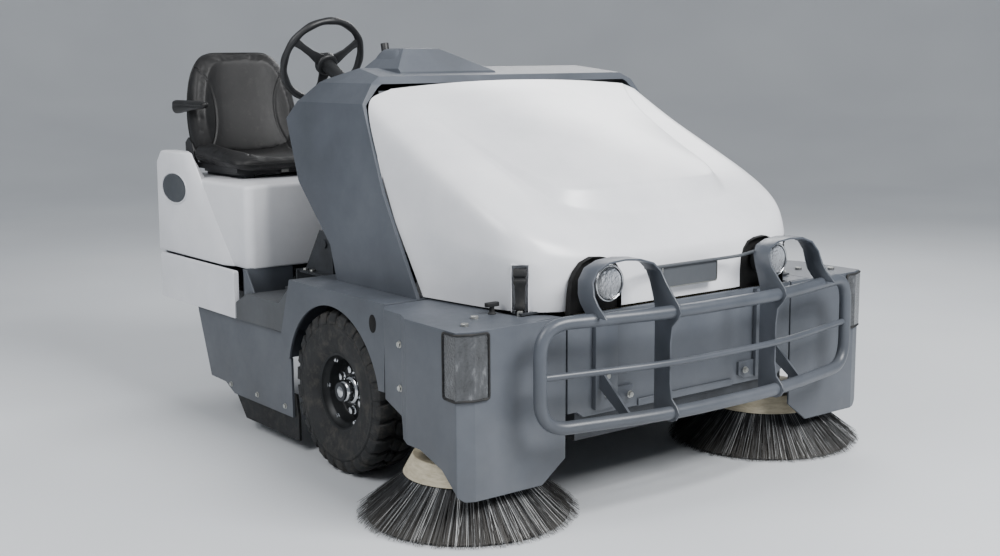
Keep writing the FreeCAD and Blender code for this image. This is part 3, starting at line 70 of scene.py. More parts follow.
class Finish:
    """A node material built from noise layers over a Principled shader."""

    def __init__(self, name, **sockets):
        self.material = bpy.data.materials.new(name)
        self.material.use_nodes = True
        self.tree = self.material.node_tree
        self.shader = self.tree.nodes["Principled BSDF"]
        for socket, value in sockets.items():
            self.shader.inputs[socket.replace("_", " ")].default_value = value
        self.coords = self.tree.nodes.new("ShaderNodeTexCoord").outputs["Object"]

    def node(self, kind, links=(), **settings):
        made = self.tree.nodes.new("ShaderNode" + kind)
        for key, value in settings.items():
            if key in made.inputs:
                made.inputs[key].default_value = value
            else:
                setattr(made, key, value)
        for socket, source in dict(links).items():
            self.tree.links.new(source, made.inputs[socket])
        return made

    def stretch(self, scale):
        return self.node("Mapping", {"Vector": self.coords}, Scale=scale).outputs["Vector"]

    def noise(self, scale, detail=4.0, roughness=0.55, vector=None):
        made = self.node("TexNoise", {"Vector": vector or self.coords},
                         Scale=scale, Detail=detail, Roughness=roughness)
        return made.outputs["Fac"]

    def cells(self, scale, feature="F1", vector=None):
        made = self.node("TexVoronoi", {"Vector": vector or self.coords}, feature=feature, Scale=scale)
        return made.outputs["Distance"]

    def ramp(self, source, *stops):
        made = self.tree.nodes.new("ShaderNodeValToRGB")
        self.tree.links.new(source, made.inputs["Fac"])
        band = made.color_ramp
        while len(band.elements) < len(stops):
            band.elements.new(0.5)
        for element, (place, colour) in zip(band.elements, stops):
            element.position = place
            element.color = colour if isinstance(colour, tuple) else (colour, colour, colour, 1)
        return made.outputs["Color"]

    def mix(self, kind, factor, first, second):
        made = self.node("Mix", data_type="RGBA", blend_type=kind)
        sockets = [s for s in made.inputs if s.enabled]
        for socket, value in zip(sockets, (factor, first, second)):
            if isinstance(value, (int, float, tuple)):
                socket.default_value = value
            else:
                self.tree.links.new(value, socket)
        return next(s for s in made.outputs if s.enabled)

    def colour(self, source):
        self.tree.links.new(source, self.shader.inputs["Base Color"])

    def rough(self, source, low, high):
        made = self.node("MapRange", {"Value": source})
        made.inputs["To Min"].default_value = low
        made.inputs["To Max"].default_value = high
        self.tree.links.new(made.outputs["Result"], self.shader.inputs["Roughness"])

    def bump(self, *layers):
        """Layers of (height source, strength, distance in metres)."""
        normal = None
        for height, strength, distance in layers:
            made = self.node("Bump", {"Height": height}, Strength=strength, Distance=distance)
            if normal is not None:
                self.tree.links.new(normal, made.inputs["Normal"])
            normal = made.outputs["Normal"]
        self.tree.links.new(normal, self.shader.inputs["Normal"])

    def height_shade(self, colour, low, high, amount, tone):
        """Dust that gathers towards the floor, between two heights in metres."""
        z = self.node("SeparateXYZ", {"Vector": self.coords}).outputs["Z"]
        made = self.node("MapRange", {"Value": z})
        for key, value in (("From Min", low), ("From Max", high), ("To Min", amount), ("To Max", 0.0)):
            made.inputs[key].default_value = value
        speck = self.node("Math", {0: made.outputs["Result"], 1: self.noise(14, 8, 0.7)},
                          operation="MULTIPLY")
        return self.mix("MIX", speck.outputs["Value"], colour, tone)


def painted(name, dark, mid, light, low, high, coat=0.0, peel=0.05, grain=900, dust=0.25):
    """Paint or moulded skin: soft mottling, fine peel and a little dust low down."""
    f = Finish(name, Coat_Weight=coat, Coat_Roughness=0.25)
    broad = f.noise(3.2, 5, 0.6)
    tone = f.ramp(broad, (0.3, rgb(dark)), (0.5, rgb(mid)), (0.72, rgb(light)))
    fine = f.noise(grain, 2, 0.5)
    tone = f.mix("MULTIPLY", 0.1, tone, f.ramp(fine, (0.3, 0.7), (0.7, 1.0)))
    f.colour(f.height_shade(tone, 0.05, 0.75, dust, rgb("6E6A63")))
    f.rough(f.noise(38, 6, 0.65), low, high)
    f.bump((fine, peel, 0.0006), (f.noise(9, 3), 0.03, 0.004))
    return f.material


def metal(name, dark, light, low, high, brushed=(1, 1, 1), metallic=0.9, wear=0.3):
    f = Finish(name, Metallic=metallic)
    streak = f.noise(60, 6, 0.7, f.stretch(brushed))
    tone = f.ramp(f.noise(11, 6, 0.65), (0.3, rgb(dark)), (0.7, rgb(light)))
    f.colour(f.mix("OVERLAY", wear, tone, f.ramp(streak, (0.25, 0.25), (0.75, 0.8))))
    f.rough(streak, low, high)
    f.bump((streak, 0.06, 0.0008), (f.noise(420, 3), 0.05, 0.0004))
    return f.material


def rubbery(name, dark, light, low, high, dust="57534C", amount=0.35, pit=0.12):
    f = Finish(name, Specular_IOR_Level=0.35)
    tone = f.ramp(f.noise(7, 8, 0.7), (0.3, rgb(dark)), (0.75, rgb(light)))
    patches = f.ramp(f.noise(26, 8, 0.75), (0.48, 0.0), (0.78, amount))
    f.colour(f.mix("MIX", patches, tone, rgb(dust)))
    f.rough(f.noise(45, 6, 0.7), low, high)
    f.bump((f.cells(650), pit, 0.0006), (f.noise(120, 5, 0.7), 0.14, 0.0012))
    return f.material


def vinyl(name):
    f = Finish(name, Specular_IOR_Level=0.38, Coat_Weight=0.05, Coat_Roughness=0.4)
    grain = f.cells(520, "DISTANCE_TO_EDGE")
    tone = f.ramp(f.noise(9, 6, 0.6), (0.3, rgb("111112")), (0.7, rgb("1B1B1C")))
    tone = f.mix("MULTIPLY", 0.5, tone, f.ramp(grain, (0.0, 0.45), (0.16, 1.0)))
    dust = f.ramp(f.noise(33, 9, 0.75), (0.55, 0.0), (0.85, 0.16))
    f.colour(f.mix("MIX", dust, tone, rgb("6F6C66")))
    f.rough(f.noise(70, 5, 0.6), 0.42, 0.6)
    f.bump((grain, 0.35, 0.0007), (f.noise(24, 4), 0.06, 0.003))
    return f.material


def bristle_finish(name):
    f = Finish(name, Specular_IOR_Level=0.4)
    strand = f.noise(260, 3, 0.6, f.stretch((1, 1, 0.08)))
    each = f.node("Attribute", attribute_name="tone").outputs["Fac"]
    own = f.ramp(each, (0.3, rgb("1E1F21")), (0.6, rgb("3A3C3F")), (0.82, rgb("6C6F72")),
                 (1.0, rgb("B9BABA")))
    tone = f.mix("MULTIPLY", 0.6, own, f.ramp(strand, (0.3, 0.45), (0.6, 1.0)))
    f.colour(f.height_shade(tone, 0.0, 0.12, 0.5, rgb("77726A")))
    f.rough(strand, 0.4, 0.65)
    f.bump((strand, 0.4, 0.001))
    return f.material


def lens(name, tint, low, high, alpha):
    f = Finish(name, Transmission_Weight=alpha, IOR=1.45, Coat_Weight=0.5, Coat_Roughness=0.05)
    flutes = f.noise(36, 4, 0.6, f.stretch((1, 1, 0.35)))
    f.colour(f.ramp(flutes, (0.25, rgb(tint[0])), (0.6, rgb(tint[1])), (0.8, rgb(tint[2]))))
    f.rough(f.noise(70, 6), low, high)
    f.bump((f.cells(150), 0.5, 0.002), (flutes, 0.35, 0.003))
    return f.material


def wood_resin(name):
    f = Finish(name)
    ply = f.noise(22, 7, 0.7, f.stretch((1, 1, 6)))
    tone = f.ramp(ply, (0.3, rgb("A99E86")), (0.55, rgb("C9BFA6")), (0.75, rgb("D9D0BA")))
    f.colour(f.height_shade(tone, 0.0, 0.2, 0.6, rgb("6D665A")))
    f.rough(ply, 0.5, 0.75)
    f.bump((f.noise(300, 4), 0.2, 0.0008))
    return f.material


def pleats(name):
    f = Finish(name)
    wave = f.node("TexWave", {"Vector": f.coords}, wave_type="BANDS", bands_direction="X", Scale=38.0,
                  Distortion=0.15)
    # The wave's low bands, which the bump also sets lowest, get the darker tan: painted shade in the pleat
    # folds, over the paper's own tan.
    tone = f.ramp(wave.outputs["Fac"], (0.1, rgb("8A7A55")), (0.8, rgb("C9B98E")))
    f.colour(f.mix("MULTIPLY", 0.4, tone, f.ramp(f.noise(40, 6), (0.3, 0.6), (0.7, 1.0))))
    f.rough(f.noise(80, 4), 0.75, 0.95)
    f.bump((wave.outputs["Fac"], 0.8, 0.006))
    return f.material


LOOKS = {
    "white_paint": painted("white paint", "D9DBDF", "E3E4E8", "ECEDF0", 0.26, 0.36, coat=0.25, peel=0.03),
    "white_shell": painted("white shell", "D5D7DB", "E0E1E5", "EAEBEE", 0.36, 0.5, coat=0.05, peel=0.08),
    "body_grey": painted("body grey", "42474E", "4C5159", "585D65", 0.4, 0.54, peel=0.2, grain=1400),
    "floor_grey": painted("floor grey", "3B3F44", "44484D", "505459", 0.5, 0.7, peel=0.25, dust=0.5),
    "guard_paint": painted("guard paint", "3C4148", "464B53", "535860", 0.3, 0.45, peel=0.12),
    "black_plastic": painted("black plastic", "131415", "1B1C1E", "27282A", 0.38, 0.55, peel=0.25, dust=0.2),
    "tank_plastic": painted("tank plastic", "B9B6AA", "C7C4B8", "D3D0C5", 0.45, 0.6, peel=0.15),
    "chassis_steel": metal("chassis steel", "2A2C2F", "3D4045", 0.45, 0.7, (1, 0.2, 1), 0.35),
    "engine_iron": metal("engine iron", "3A3D3F", "57595A", 0.5, 0.75, metallic=0.55),
    "rim_steel": metal("rim steel", "121314", "232527", 0.35, 0.55, metallic=0.4),
    "zinc_bolts": metal("zinc bolts", "9A9B97", "C7C7C2", 0.22, 0.42),
    "rubber": rubbery("rubber", "151617", "232426", 0.55, 0.75),
    "tyre_rubber": rubbery("tyre rubber", "1B1C1D", "2C2D2E", 0.62, 0.85, "5E5850", 0.5, 0.2),
    "lamp_lens": lens("lamp lens", ("1C1D1E", "45474A", "8E9093"), 0.12, 0.3, 0.12),
    "clear_lens": lens("clear lens", ("C9CDD2", "EEF0F3", "FFFFFF"), 0.02, 0.08, 0.85),
    "filter_paper": pleats("filter paper"),
    "beige_plastic": wood_resin("beige plastic"),
    "bristles": bristle_finish("bristles"),
    "seat_vinyl": vinyl("seat vinyl"),
}
CHROME = metal("chrome", "B9BBBE", "E2E4E6", 0.08, 0.2, metallic=1.0, wear=0.1)
REFLECTOR = metal("reflector", "C9CBCE", "F0F1F3", 0.05, 0.16, metallic=1.0, wear=0.1)
SEAM_BLACK = rubbery("seam black", "060606", "0D0D0E", 0.7, 0.9, amount=0.1)


def dress(obj, look):
    """Give a piece one material for every face."""
    obj.data.materials.clear()
    obj.data.materials.append(look)


SLOT_OF = {name: obj.data.materials[0].name.split(".")[0] for name, obj in NODES.items()}

# ---------------------------------------------------------- mesh toolkit


def loft(bm, rows, close_rows=False, close_ring=False):
    """Quads between rows of points (millimetres); returns the rows of vertices."""
    grid = [[bm.verts.new(at(*p)) for p in row] for row in rows]
    count = len(grid)
    for i in range(count if close_rows else count - 1):
        first, second = grid[i], grid[(i + 1) % count]
        width = len(first)
        for j in range(width if close_ring else width - 1):
            k = (j + 1) % width
            bm.faces.new((first[j], first[k], second[k], second[j]))
    return grid


def lathe(bm, profile, centre, axis="x", segments=64, caps=False):
    """Turn a profile of (along, radius) about an axis through centre."""
    rows = []
    for along, radius in profile:
        ring = []
        for k in range(segments):
            a = 2 * math.pi * k / segments
            c, s = radius * math.cos(a), radius * math.sin(a)
            offset = {"x": (along, c, s), "y": (s, along, c), "z": (c, s, along)}[axis]
            ring.append(tuple(centre[i] + offset[i] for i in range(3)))
        rows.append(ring)
    grid = loft(bm, rows, close_ring=True)
    if caps:
        bm.faces.new(reversed(grid[0]))
        bm.faces.new(grid[-1])
    return grid


def sweep(bm, path, radius, sides=12, closed=False, squash=1.0, caps=True):
    """A tube along points in millimetres; radius is a number or one per point."""
    points = [Vector(p) for p in path]
    count = len(points)
    radii = radius if isinstance(radius, (list, tuple)) else [radius] * count
    rows, normal = [], None
    for i, p in enumerate(points):
        if closed:
            along = points[(i + 1) % count] - points[i - 1]
        else:
            along = points[min(i + 1, count - 1)] - points[max(i - 1, 0)]
        along.normalize()
        if normal is None:
            seed = Vector((0, 0, 1)) if abs(along.z) < 0.9 else Vector((1, 0, 0))
            normal = (seed - along * seed.dot(along)).normalized()
        else:
            normal = (normal - along * normal.dot(along)).normalized()
        side = along.cross(normal)
        rows.append([p + (normal * math.cos(a) + side * math.sin(a) * squash) * radii[i]
                     for a in (2 * math.pi * k / sides for k in range(sides))])
    grid = loft(bm, rows, close_rows=closed, close_ring=True)
    if caps and not closed:
        bm.faces.new(reversed(grid[0]))
        bm.faces.new(grid[-1])
    return grid


def prism(bm, outline, low, high, plane="YZ"):
    """A polygon of two coordinates carried from low to high along the third axis."""
    place = {"YZ": lambda a, b, c: (c, a, b), "XZ": lambda a, b, c: (a, c, b),
             "XY": lambda a, b, c: (a, b, c)}[plane]
    grid = loft(bm, [[place(a, b, c) for a, b in outline] for c in (low, high)], close_ring=True)
    bm.faces.new(reversed(grid[0]))
    bm.faces.new(grid[1])
    return grid


def block(bm, low, high):
    return prism(bm, [(low[0], low[1]), (high[0], low[1]), (high[0], high[1]), (low[0], high[1])],
                 low[2], high[2], "XY")


def bolt(bm, centre, direction, across=14, height=6):
    """Hexagon head with a washer, facing along direction."""
    turn = Vector((0, 0, 1)).rotation_difference(Vector(direction))
    for radius, low, high, sides in ((across * 0.72, 0, height * 0.25, 20),
                                     (across * 0.56, height * 0.25, height, 6)):
        rows = []
        for level, shrink in ((low, 1), (high - 0.8, 1), (high, 0.85)):
            rows.append([Vector(centre) + turn @ Vector((radius * shrink * math.cos(a),
                                                        radius * shrink * math.sin(a), level))
                         for a in (2 * math.pi * k / sides for k in range(sides))])
        grid = loft(bm, rows, close_ring=True)
        bm.faces.new(reversed(grid[0]))
        bm.faces.new(grid[-1])


def piece(name, bm, body, slot, look=None, replaces=(), angle=35, bevel=0.0, subsurf=0,
          solid=0.0, segments=3):
    """Turn a bmesh into a finished piece that rides on a body."""
    bmesh.ops.recalc_face_normals(bm, faces=bm.faces)
    mesh = bpy.data.meshes.new(name)
    bm.to_mesh(mesh)
    bm.free()
    obj = bpy.data.objects.new(name, mesh)
    bpy.context.scene.collection.objects.link(obj)
    if subsurf:
        made = obj.modifiers.new("subdivide", "SUBSURF")
        made.levels = made.render_levels = subsurf
    if solid:
        made = obj.modifiers.new("wall", "SOLIDIFY")
        made.thickness, made.offset = solid * MM, -1
    if bevel:
        made = obj.modifiers.new("edges", "BEVEL")
        made.width, made.segments, made.limit_method = bevel * MM, segments, "ANGLE"
        made.angle_limit = math.radians(32)
    if subsurf or solid or bevel:
        freeze(obj)
    obj.data.shade_smooth()
    obj.data.set_sharp_from_angle(angle=math.radians(angle))
    dress(obj, look or LOOKS[slot])
    if replaces:
        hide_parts(*([replaces] if isinstance(replaces, str) else replaces))
    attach(obj, body)
    return obj


def freeze(obj):
    """Apply all modifiers of a piece to its mesh."""
    bpy.context.view_layer.update()
    graph = bpy.context.evaluated_depsgraph_get()
    mesh = bpy.data.meshes.new_from_object(obj.evaluated_get(graph), depsgraph=graph)
    obj.modifiers.clear()
    obj.data = mesh


def mirrored(points):
    """Points of one half, from the outside to the middle, then their mirror."""
    return [(-x, y, z) for x, y, z in points] + [(x, y, z) for x, y, z in reversed(points[:-1])]


# --------------------------------------------------------- carried nodes

EDGE_WIDTH = {"cowl": 7, "engine_cover": 9, "rear_bumper": 7, "fender_right": 5, "fender_left": 5,
              "corner_cover_right": 5, "corner_cover_left": 5, "front_panel": 3, "dash_panel": 4,
              "door_right": 3, "door_left": 3, "guard_straps": 2, "operator_floor": 2}


def carry_nodes():
    """Soft edges and a finish on every CAD node; pieces made later may replace some."""
    for name, obj in NODES.items():
        dress(obj, LOOKS[SLOT_OF[name]])
        weld = obj.modifiers.new("weld", "WELD")
        weld.merge_threshold = 0.00002
        made = obj.modifiers.new("edges", "BEVEL")
        made.width, made.segments, made.limit_method = EDGE_WIDTH.get(name, 1.2) * MM, 3, "ANGLE"
        made.angle_limit = math.radians(30)
        made.harden_normals = False


# ------------------------------------------------------------- the hood

HOOD_BOTTOM = [(617, -314, 606), (611, -360, 606), (604, -410, 606), (596, -470, 606),
               (586, -540, 606), (573, -610, 606), (549, -694, 606), (480, -765, 606),
               (358, -797, 606), (180, -799, 606), (0, -799, 606)]
HOOD_CREASE = [(627, -184, 822), (627, -260, 812), (626, -330, 802), (623, -420, 790),
               (616, -510, 779), (604, -600, 767), (574, -700, 755), (494, -768, 742),
               (360, -795, 738), (180, -800, 737), (0, -800, 737)]
HOOD_SHOULDER = [(601, 22, 1181), (601, -60, 1147), (600, -150, 1102), (601, -290, 1040),
                 (598, -430, 979), (590, -560, 920), (562, -672, 862), (490, -738, 812),
                 (360, -760, 794), (180, -768, 788), (0, -770, 786)]
HOOD_FOOT = [(507, 22, 1219), (460, -60, 1176), (438, -142, 1131), (418, -284, 1062),
             (403, -432, 992), (389, -545, 942), (360, -630, 896), (298, -664, 873),
             (196, -680, 864), (98, -684, 861), (0, -685, 860)]
HOOD_CREST = [(502, 22, 1222), (455, -60, 1182), (430, -140, 1137), (405, -280, 1074),
              (385, -424, 1014), (366, -530, 976), (338, -602, 945), (285, -634, 937),
              (190, -648, 936), (95, -652, 935), (0, -653, 935)]
HOOD_SPINE = [(24, 1244), (-60, 1217), (-140, 1184), (-280, 1132), (-424, 1068), (-530, 1009)]
HOOD_CORNER = 6  # station of the crest's front corner


def between(first, second, share, bulge=0.0):
    """Row between two rows of points, pushed outwards by bulge."""
    row = []
    for a, b in zip(first, second):
        p = Vector(a).lerp(Vector(b), share)
        out = Vector((p.x, (p.y + 150) * 0.6, 0))
        if out.length > 1:
            p += out.normalized() * bulge
        row.append(tuple(p))
    return row


def mark_crease(bm, layer, rows, amounts):
    """Set the subdivision crease along rows of vertices."""
    for row, amount in zip(rows, amounts):
        for a, b in zip(row, row[1:]):
            edge = bm.edges.get((a, b))
            if edge:
                edge[layer] = amount


# outline of the opening round each headlight: distance from the middle, height
ARCH = [(452, 598), (447, 660), (440, 695), (425, 722), (402, 745), (365, 758), (322, 755), (289, 746),
        (268, 726), (256, 700), (252, 660), (252, 598)]


def carve(obj, bm, overlapping=False):
    """Cut a closed form out of a piece; overlapping says the piece is several forms in one mesh."""
    bmesh.ops.recalc_face_normals(bm, faces=bm.faces)
    mesh = bpy.data.meshes.new("cutter")
    bm.to_mesh(mesh)
    bm.free()
    tool = bpy.data.objects.new("cutter", mesh)
    bpy.context.scene.collection.objects.link(tool)
    made = obj.modifiers.new("carve", "BOOLEAN")
    made.operation, made.solver, made.object = "DIFFERENCE", "EXACT", tool
    made.use_self = overlapping
    freeze(obj)
    bpy.data.objects.remove(tool)
    obj.data.set_sharp_from_angle(angle=math.radians(50))


def latch_place(s):
    """Turns a point of the latch's own axes into a point about the axle."""
    turn = Matrix.Rotation(math.radians(s * LATCH_TURN), 3, "Z")
    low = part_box("latch_right")[0].z / MM + 8

    def put(x, y, z):
        p = turn @ Vector((x, y, z))
        return (s * LATCH_POINT[0] + p.x, LATCH_POINT[1] + p.y, low + z)
    return put


LATCH_TURN, LATCH_POINT = 39.8, (553.4, -706.5)


def hood():
    bm = bmesh.new()
    side = between(HOOD_CREASE, HOOD_SHOULDER, 0.5, 5)
    upper = between(HOOD_SHOULDER, HOOD_FOOT, 0.5, 4)
    upper = [(x, y, z + 5) for x, y, z in upper]
    rows = [mirrored(r) for r in (HOOD_BOTTOM, HOOD_CREASE, side, HOOD_SHOULDER, upper, HOOD_FOOT,
                                  HOOD_CREST)]
    grid = loft(bm, rows)
    crest = grid[-1]
    shares = [x / HOOD_CREST[HOOD_CORNER][0] for x, _, _ in HOOD_CREST[HOOD_CORNER:]]
    shares = [-s for s in shares] + shares[-2::-1]
    panel = []
    for i in range(HOOD_CORNER):
        (half, y, edge_z), (_, top_z) = HOOD_CREST[i], HOOD_SPINE[i]
        row = [crest[i]]
        for s in shares[1:-1]:
            row.append(bm.verts.new(at(s * half, y, top_z + (edge_z - top_z) * s * s)))
        row.append(crest[len(crest) - 1 - i])
        panel.append(row)
    panel.append(crest[HOOD_CORNER:len(crest) - HOOD_CORNER])
    for first, second in zip(panel, panel[1:]):
        for j in range(len(first) - 1):
            bm.faces.new((first[j], first[j + 1], second[j + 1], second[j]))
    crease = bm.edges.layers.float.new("crease_edge")
    mark_crease(bm, crease, (grid[1][:8], grid[1][-8:], grid[5], grid[6]), (0.85, 0.85, 0.7, 0.95))
    for edge in bm.edges:
        if edge.is_boundary:
            edge[crease] = 0.9
    obj = piece("hood_shell", bm, "hood", "white_paint", replaces="hood", subsurf=3, solid=5,
                angle=50)
    for side_name, s in SIDES:
        bm = bmesh.new()
        prism(bm, [(s * x, z) for x, z in ARCH], -850, -781, "XZ")
        carve(obj, bm)
        bm = bmesh.new()
        outline = [(s * x, z) for x, z in ARCH]
        rows = [[(x, y, z) for x, z in outline] for y in (-801, -783)]
        grid = loft(bm, rows)
        bm.faces.new(grid[1])
        piece(f"headlight_recess_{side_name}", bm, "hood", "black_plastic", SEAM_BLACK, solid=2)
        put = latch_place(s)
        bm = bmesh.new()
        section_loft(bm, [[put(x, y, z) for x, z in ((-25, -14), (25, -14), (25, 122), (-25, 122))]
                          for y in (-60, 26)])
        carve(obj, bm)
        bm = bmesh.new()
        grid = loft(bm, [[put(x, y, z) for x, z in ((-25, -14), (-25, 122), (25, 122), (25, -14))]
                         for y in (0, 26)])
        bm.faces.new(grid[1])
        piece(f"latch_pocket_{side_name}", bm, "hood", "white_paint", solid=2, angle=30)


# ------------------------------------------------------------ solid and outline helpers


def section_loft(bm, sections):
    """Closed solid through rings of points."""
    grid = loft(bm, sections, close_ring=True)
    bm.faces.new(reversed(grid[0]))
    bm.faces.new(grid[-1])
    return grid


def rounded_path(corners, radius, closed=False, steps=8):
    """Corners joined by straight runs and round bends."""
    points = [Vector(c) for c in corners]
    count, path = len(points), []
    for i, p in enumerate(points):
        if not closed and i in (0, count - 1):
            path.append(p)
            continue
        before, after = points[i - 1] - p, points[(i + 1) % count] - p
        reach = min(radius, before.length * 0.49, after.length * 0.49)
        start, end = p + before.normalized() * reach, p + after.normalized() * reach
        for k in range(steps + 1):
            t = k / steps
            path.append(start * (1 - t) ** 2 + p * 2 * t * (1 - t) + end * t * t)
    return path


def rounded_box(bm, low, high, plan, top, steps=5):
    """Box with rounded upright corners and a rounded top edge."""
    sections = []
    levels = [(low[2], 0.0)] + [
        (high[2] - top + top * math.sin(a), top * (1 - math.cos(a)))
        for a in (math.pi / 2 * k / steps for k in range(steps + 1))]
    for z, inset in levels:
        ring = []
        for cx, cy, start in ((high[0], high[1], 0), (low[0], high[1], 1),
                              (low[0], low[1], 2), (high[0], low[1], 3)):
            sx, sy = (1 if cx == high[0] else -1), (1 if cy == high[1] else -1)
            for k in range(steps + 1):
                a = math.pi / 2 * (start + k / steps)
                r = max(plan - inset, 1)
                ring.append((cx - sx * plan + r * math.cos(a), cy - sy * plan + r * math.sin(a), z))
        sections.append(ring)
    return section_loft(bm, sections)


def oval(bm, centre, half_y, half_z, side, depths, segments=40):
    """Oval disc on a side face; depths are (offset outwards, share of its size)."""
    sections = []
    for out, share in depths:
        sections.append([(centre[0] + side * out, centre[1] + half_y * share * math.cos(a),
                          centre[2] + half_z * share * math.sin(a))
                         for a in (2 * math.pi * k / segments for k in range(segments))])
    return section_loft(bm, sections)


# ------------------------------------------------------------ rear cover

COVER_CORE = ((-718, 628, 584), (718, 1341, 880))
QUARTER_OUTER = [(793, 584), (945, 735), (1044, 850), (1108, 972), (1290, 972), (1332, 930), (1341, 584)]
QUARTER_FOOT = [(734, 584), (874, 740), (965, 855), (1058, 974), (1292, 974), (1335, 930), (1341, 584)]
QUARTER_SEAT = [(734, 584), (874, 740), (1040, 870), (1190, 972), (1290, 972), (1335, 930), (1341, 584)]
QUARTER_DECK = [(734, 584), (874, 740), (900, 868), (1057, 974), (1292, 974), (1335, 930), (1341, 584)]


def engine_cover():
    bm = bmesh.new()
    rounded_box(bm, *COVER_CORE, 34, 16)
    for outer_x, foot_x, inner_x, inner in ((-740, -718, -668, QUARTER_SEAT), (740, 718, -132, QUARTER_DECK)):
        section_loft(bm, [[(x, y, z) for y, z in outline] for x, outline in (
            (outer_x, QUARTER_OUTER), (foot_x, QUARTER_FOOT), (inner_x, inner))])
    obj = piece("engine_cover_shell", bm, "engine_cover", "white_shell", replaces="engine_cover",
                bevel=6, angle=40)
    for low, high in (((-702, 644, 560), (702, 1326, 868)), ((-118, 1076, 800), (702, 1322, 962))):
        bm = bmesh.new()
        rounded_box(bm, low, high, 24, 12)
        carve(obj, bm, overlapping=True)
    for side_name, s in SIDES:
        bm = bmesh.new()
        oval(bm, (s * 740, 1175, 836), 104, 54, s, ((-4, 1), (1.6, 1), (2.6, 0.97), (2.6, 0.9), (1.4, 0.87)))
        piece(f"cover_badge_{side_name}", bm, "engine_cover", "guard_paint", LOOKS["floor_grey"])
        bm = bmesh.new()
        sweep(bm, [(s * 741, 1175 + 110 * math.cos(a), 836 + 59 * math.sin(a))
                   for a in (2 * math.pi * k / 48 for k in range(48))], 3.4, 8, closed=True)
        piece(f"cover_badge_rim_{side_name}", bm, "engine_cover", "white_shell")


# ---------------------------------------------------------------- wheels


def tyre(name, body, centre, radius, width, bead, lugs, slot="tyre_rubber"):
    """Pneumatic-shape tyre with shoulder lugs and a centre row of blocks."""
    half, base = width / 2, radius - 14
    profile = [(0.70, bead), (0.80, bead + 3), (0.92, bead + 26), (0.985, bead + 60), (0.97, base - 42),
               (0.99, base - 40), (0.985, base - 33), (0.955, base - 31), (0.93, base - 15),
               (0.85, base - 3), (0.5, base)]
    full = [(-a * half, r) for a, r in profile] + [(0, base + 1)]
    full += [(a * half, r) for a, r in reversed(profile)]
    bm = bmesh.new()
    rows = []
    segments = 96
    for along, r in full:
        rows.append([(centre[0] + along, centre[1] + r * math.cos(a), centre[2] + r * math.sin(a))
                     for a in (2 * math.pi * k / segments for k in range(segments))])
    loft(bm, rows, close_rows=True, close_ring=True)
    pitch = 2 * math.pi / lugs

    def put(along, r, a):
        return (centre[0] + along * half, centre[1] + r * math.cos(a), centre[2] + r * math.sin(a))

    shoulder = ((0.26, 0.30, 0.0), (0.42, 0.34, -0.10), (0.70, 0.36, -0.24), (0.90, 0.33, -0.30),
                (0.975, 0.30, -0.32))
    tops = (radius - 1, radius, radius - 1, radius - 9, radius - 26)
    bottoms = (base - 3, base - 3, base - 8, base - 20, base - 30)
    for side in (-1, 1):
        for k in range(lugs):
            middle = (k + (0.5 if side > 0 else 0)) * pitch
            rows = []
            for (along, wide, lean), top, bottom in zip(shoulder, tops, bottoms):
                a = middle + side * lean * pitch
                w = wide * pitch
                rows.append([put(side * along, r, a + d) for r, d in (
                    (bottom, -w * 1.12), (top, -w), (top, w), (bottom, w * 1.12))])
            section_loft(bm, rows)
    for k in range(lugs):
        middle = (k + 0.25) * pitch
        rows = [[put(along, r, middle + along * 0.5 * pitch + d) for r, d in (
            (base - 3, -w * 1.15), (radius - 1, -w), (radius - 1, w), (base - 3, w * 1.15))]
            for along, w in ((-0.17, 0.16 * pitch), (-0.10, 0.36 * pitch), (0.10, 0.36 * pitch),
                             (0.17, 0.16 * pitch))]
        section_loft(bm, rows)
    return piece(name, bm, body, slot, bevel=1.6, segments=2, angle=45)


def front_rim(side_name, s):
    """Black steel disc with a bright hub, wheel nuts and split-rim bolts."""
    node, body = f"front_rim_{side_name}", f"front_wheel_{side_name}"
    place = (s * 667.5, 0.0, (tyre_low.z + tyre_high.z) / 2 / MM)
    bm = bmesh.new()
    outside = [(56, 118), (60, 131), (64, 131), (66, 125), (62, 118), (50, 114), (44, 106), (38, 103),
               (10, 101), (4, 96), (6, 84), (12, 78), (14, 50), (16, 40), (16, 31)]
    profile = outside + [(8, 31), (4, 60), (-2, 90), (-4, 104), (-40, 108), (-58, 116), (-64, 124),
                         (-62, 131), (-58, 126), (-50, 118)]
    loft_profile = [(a * s, r) for a, r in profile]
    rows = []
    for along, r in loft_profile:
        rows.append([(place[0] + along, place[1] + r * math.cos(a), place[2] + r * math.sin(a))
                     for a in (2 * math.pi * k / 72 for k in range(72))])
    loft(bm, rows, close_rows=True, close_ring=True)
    piece(f"rim_{side_name}", bm, body, "rim_steel", replaces=(node,), angle=40)
    bm = bmesh.new()
    lathe(bm, [(a * s, r) for a, r in ((10, 47), (24, 47), (28, 44), (30, 37), (50, 35), (55, 30),
                                       (56, 20), (64, 18), (67, 13), (67, 2))], place, "x", 40, caps=True)
    for k in range(6):
        a = 2 * math.pi * (k + 0.5) / 6
        bolt(bm, (place[0] + s * 12, place[1] + 68 * math.cos(a), place[2] + 68 * math.sin(a)),
             (s, 0, 0), 22, 17)
        a += math.pi / 6
        bolt(bm, (place[0] + s * 40, place[1] + 108 * math.cos(a), place[2] + 108 * math.sin(a)),
             (s, 0, 0), 12, 8)
    piece(f"hub_{side_name}", bm, body, "zinc_bolts", CHROME, angle=40)
    made = tyre(f"tyre_{side_name}", body, place, (tyre_high.z - tyre_low.z) / 2 / MM,
                (tyre_high.x - tyre_low.x) / MM, 122, 26)
    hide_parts(f"front_tyre_{side_name}")


def rear_wheel():
    low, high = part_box("rear_tyre")
    centre = ((low.x + high.x) / 2 / MM, ((low.y + high.y) / 2 - AXLE_Y) / MM, (low.z + high.z) / 2 / MM)
    made = tyre("rear_tyre_tread", "rear_wheel", centre, (high.z - low.z) / 2 / MM, (high.x - low.x) / MM,
                108, 24)
    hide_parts("rear_tyre")


# ---------------------------------------------------------------- brooms


